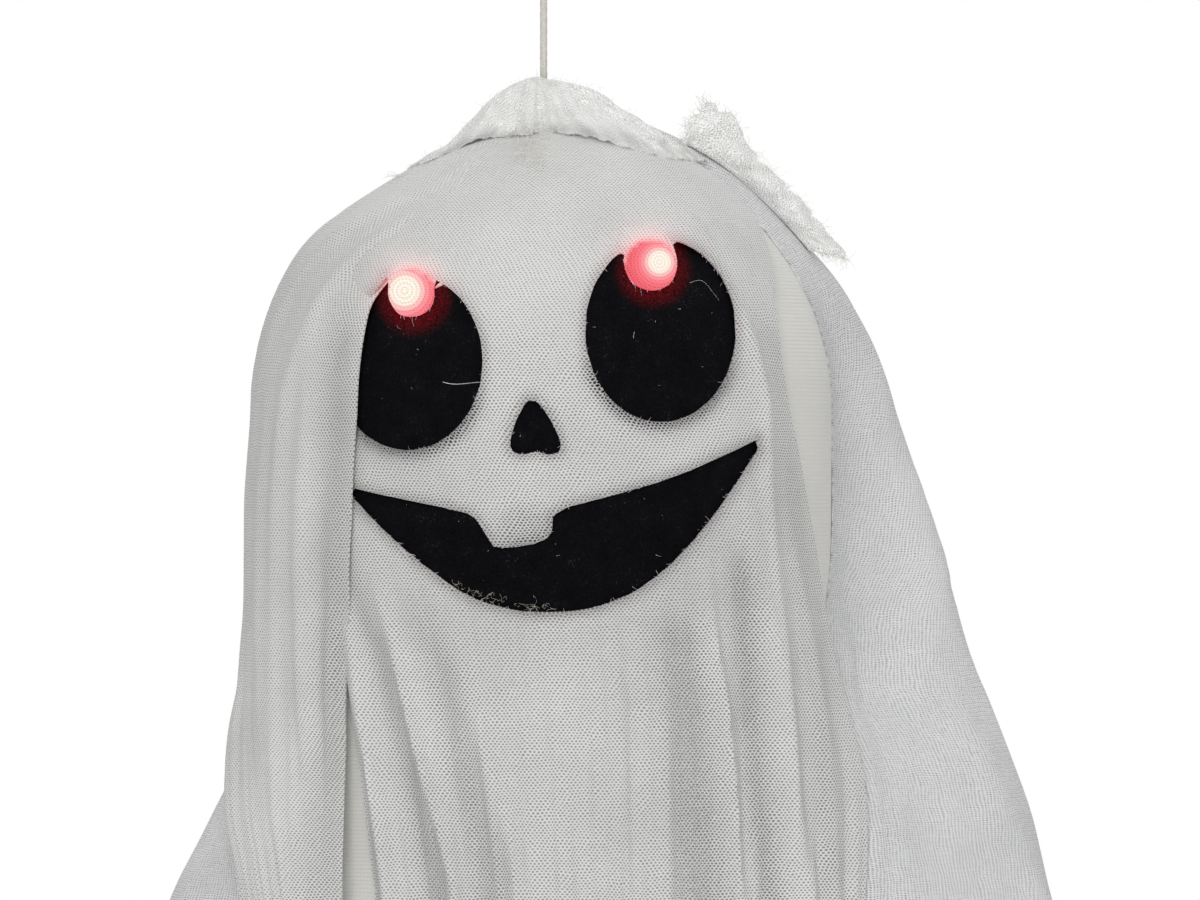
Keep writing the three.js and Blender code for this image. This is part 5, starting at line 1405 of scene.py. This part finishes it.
def makeFaceThreads():
    pick = np.random.default_rng(81)
    strands = [(layThread(pairs, offset), thick) for pairs, offset, thick in strays]
    for outline, count, reach in ((leftCut, 46, 0.8), (rightCut, 46, 0.8), (noseOutline, 18, 0.5),
                                  (mouthOutline, 80, 0.8)):
        # short ends of yarn along each cut edge
        ring = np.array(outline)
        middle = ring.mean(0)
        for _ in range(count):
            k = int(pick.integers(0, len(ring)))
            share = pick.uniform(0, 1)
            spot = ring[k] * share + ring[(k + 1) % len(ring)] * (1 - share)
            inward = (middle - spot) / (np.linalg.norm(middle - spot) + 1e-6)
            aim = inward + pick.normal(0, 0.7, 2)
            end = spot + aim * pick.uniform(0.3, reach)
            bend = (spot + end) / 2 + pick.normal(0, 0.25, 2)
            strands.append((layThread([spot - inward * 0.3, bend, end], 3.25, 7), pick.uniform(0.03, 0.06)))
    threadSet("face_loose_threads", strands, finishes["fibres"])

    strands = []
    rim = np.array(fibreEdge)
    for _ in range(55):
        t = pick.uniform(0, len(rim) - 1)
        spot = np.array([np.interp(t, range(len(rim)), column) for column in rim.T])
        spot = spot + pick.normal(0, 0.55, 2) + np.array([0.5, 0.9])
        end = spot + pick.normal(0, 1, 2) * pick.uniform(0.5, 1.9)
        bend = (spot + end) / 2 + pick.normal(0, 0.5, 2)
        strands.append((layThread([spot, bend, end], 2.8, 12), pick.uniform(0.02, 0.04)))
    threadSet("mouth_edge_fibres", strands, finishes["creamFibres"])

    strands = []
    for outline, count in ((eyeOutline(cuts["leftEye"], -1.5), 9), (eyeOutline(cuts["rightEye"], -1.5), 9),
                           (noseOutline, 2), (mouthOutline, 16)):
        # lint on the felt
        ring = np.array(outline)
        low, high = ring.min(0), ring.max(0)
        made = 0
        while made < count:
            spot = pick.uniform(low, high)
            if not insideOutline(spot[:1], spot[1:], list(outline))[0]:
                continue
            end = spot + pick.normal(0, 1, 2) * pick.uniform(0.1, 0.6)
            bend = (spot + end) / 2 + pick.normal(0, 0.2, 2)
            strands.append((layThread([spot, bend, end], 2.62, 5), pick.uniform(0.02, 0.045)))
            made += 1
    threadSet("felt_lint", strands, finishes["fibres"])


def makeHemThreads():
    pick = np.random.default_rng(91)
    for name, reach, finish, slot in (("face_knit", 6.0, "fibres", "white_knit"),
                                      ("back_knit", 6.0, "fibres", "white_knit"),
                                      ("side_knit", 5.0, "fibres", "white_knit"),
                                      ("gown_jersey", 2.5, "creamFibres", "cream_knit")):
        hem = hems[name]
        strands = []
        for k in range(1, len(hem) - 1):
            for _ in range(2):
                start = hem[k] + (hem[k + 1] - hem[k]) * pick.uniform(0, 1) + np.array([0, 0, 0.4])
                aim = np.array([0, 0, -1.0]) + pick.normal(0, 0.35, 3)
                strands.append((curled(start, aim, pick.uniform(0.8, reach), pick, 0.8, 0.3),
                                pick.uniform(0.06, 0.12)))
        threadSet(name + "_hem_threads", strands, finishes[finish])


makeFaceThreads()
makeHemThreads()
print("loose threads are laid")


# finishes of the parts inside, which show from below and through the open hem

insides = [
    # kind, dark tone, light tone, grain in mm, roughness, and the nodes that have it
    ("moulded", "#CFCFCC", "#DADAD7", 1.6, 0.5, ["head_front_shell", "head_back_shell"]),
    ("rubber", "#0E0E0F", "#1C1C1E", 0.6, 0.7, ["led_sleeve_left", "led_sleeve_right"]),
    ("rubber", "#7E1216", "#9C1A1E", 1.2, 0.45, ["eye_lead_left", "eye_lead_right"]),
    ("moulded", "#BDBDB9", "#C9C9C5", 1.2, 0.45, ["neck_tube"]),
    ("moulded", "#131314", "#1D1D1F", 0.5, 0.55, ["box_front_cover", "box_back_tray"]),
    ("moulded", "#161617", "#212123", 0.5, 0.55, ["battery_cover"]),
    ("moulded", "#1A1A1B", "#262628", 0.4, 0.5, ["switch_body"]),
    ("moulded", "#0C0C0D", "#171718", 0.4, 0.4, ["switch_knob"]),
    ("moulded", "#B9B7B0", "#C6C4BD", 0.6, 0.5, ["gear_plate"]),
    ("moulded", "#E3E0D6", "#EEEBE2", 0.8, 0.4, ["compound_gear", "output_gear"]),
    ("board", "#1D4A2A", "#2A6038", 1.0, 0.4, ["control_board"]),
    ("paper", "#141415", "#232325", 0.7, 0.85, ["speaker"]),
    ("rubber", "#101011", "#1E1E20", 0.6, 0.6, ["spreader_cap_left", "spreader_cap_right"]),
    ("metal", "#8E8F92", "#A9AAAD", 0.5, 0.35, ["microphone"]),
    ("metal", "#8F9194", "#B0B2B5", 1.4, 0.3, ["motor"]),
    ("metal", "#A98A3E", "#C7A552", 0.5, 0.3, ["motor_pinion"]),
    ("metal", "#9A9C9F", "#B5B7BA", 0.5, 0.25, ["compound_axle", "output_shaft"]),
    ("metal", "#7B7C7F", "#98999C", 0.9, 0.5, ["eccentric_weight"]),
    ("metal", "#8B8C8E", "#A9AAAC", 0.8, 0.4, ["spreader_wire"]),
    ("metal", "#97989B", "#B3B4B7", 0.6, 0.35, ["stop_washer"]),
    ("metal", "#8A8B8E", "#A6A7AA", 0.4, 0.35, [f"box_screw_{k}" for k in range(1, 5)]),
    ("sleeve", "#1F2226", "#34383D", 2.0, 0.35, [f"battery_{k}" for k in range(1, 4)]),
    ("metal", "#A2A3A5", "#BFC0C2", 0.4, 0.25, [f"battery_spring_{k}" for k in range(1, 4)]),
    ("metal", "#A2A3A5", "#BFC0C2", 0.7, 0.25, [f"contact_plate_{k}" for k in range(1, 4)]),
]


def insideMaterial(name, kind, dark, light, grain, rough):
    # a tone that drifts over a few mm, a fine grain that breaks up the shine, and scuffed corners
    special = {"metal": {"Metallic": 1.0}, "rubber": {"Specular IOR Level": 0.3}}
    material, tree, shader, place = startMaterial(name.replace("_", " ") + ", " + kind, special.get(kind, {}))
    fine = noise(tree, place, grain, 4.0, 0.65)
    both = maths(tree, "MULTIPLY_ADD", fine, 0.4, noise(tree, place, grain * 9, 3.0))
    worn = remap(tree, addNode(tree, "NewGeometry").outputs["Pointiness"], 0.53, 0.62, 0.0, 0.25)
    tone = mixed(tree, worn, colourRamp(tree, both, (0.5, dark), (0.9, light)), "#B4B4B4")
    shine = remap(tree, fine, 0.0, 1.0, rough - 0.08, rough + 0.12)
    setInputs(tree, shader, {"Base Color": tone, "Roughness": shine, "Normal": bumped(tree, fine, 0.35, 0.06)})
    return material


def finishInsides():
    for *look, names in insides:
        material = insideMaterial(names[0], *look)
        for name in names:
            mesh = nodes[name].data
            mesh.materials.clear()
            mesh.materials.append(material)


finishInsides()
print("the parts inside have their finishes")
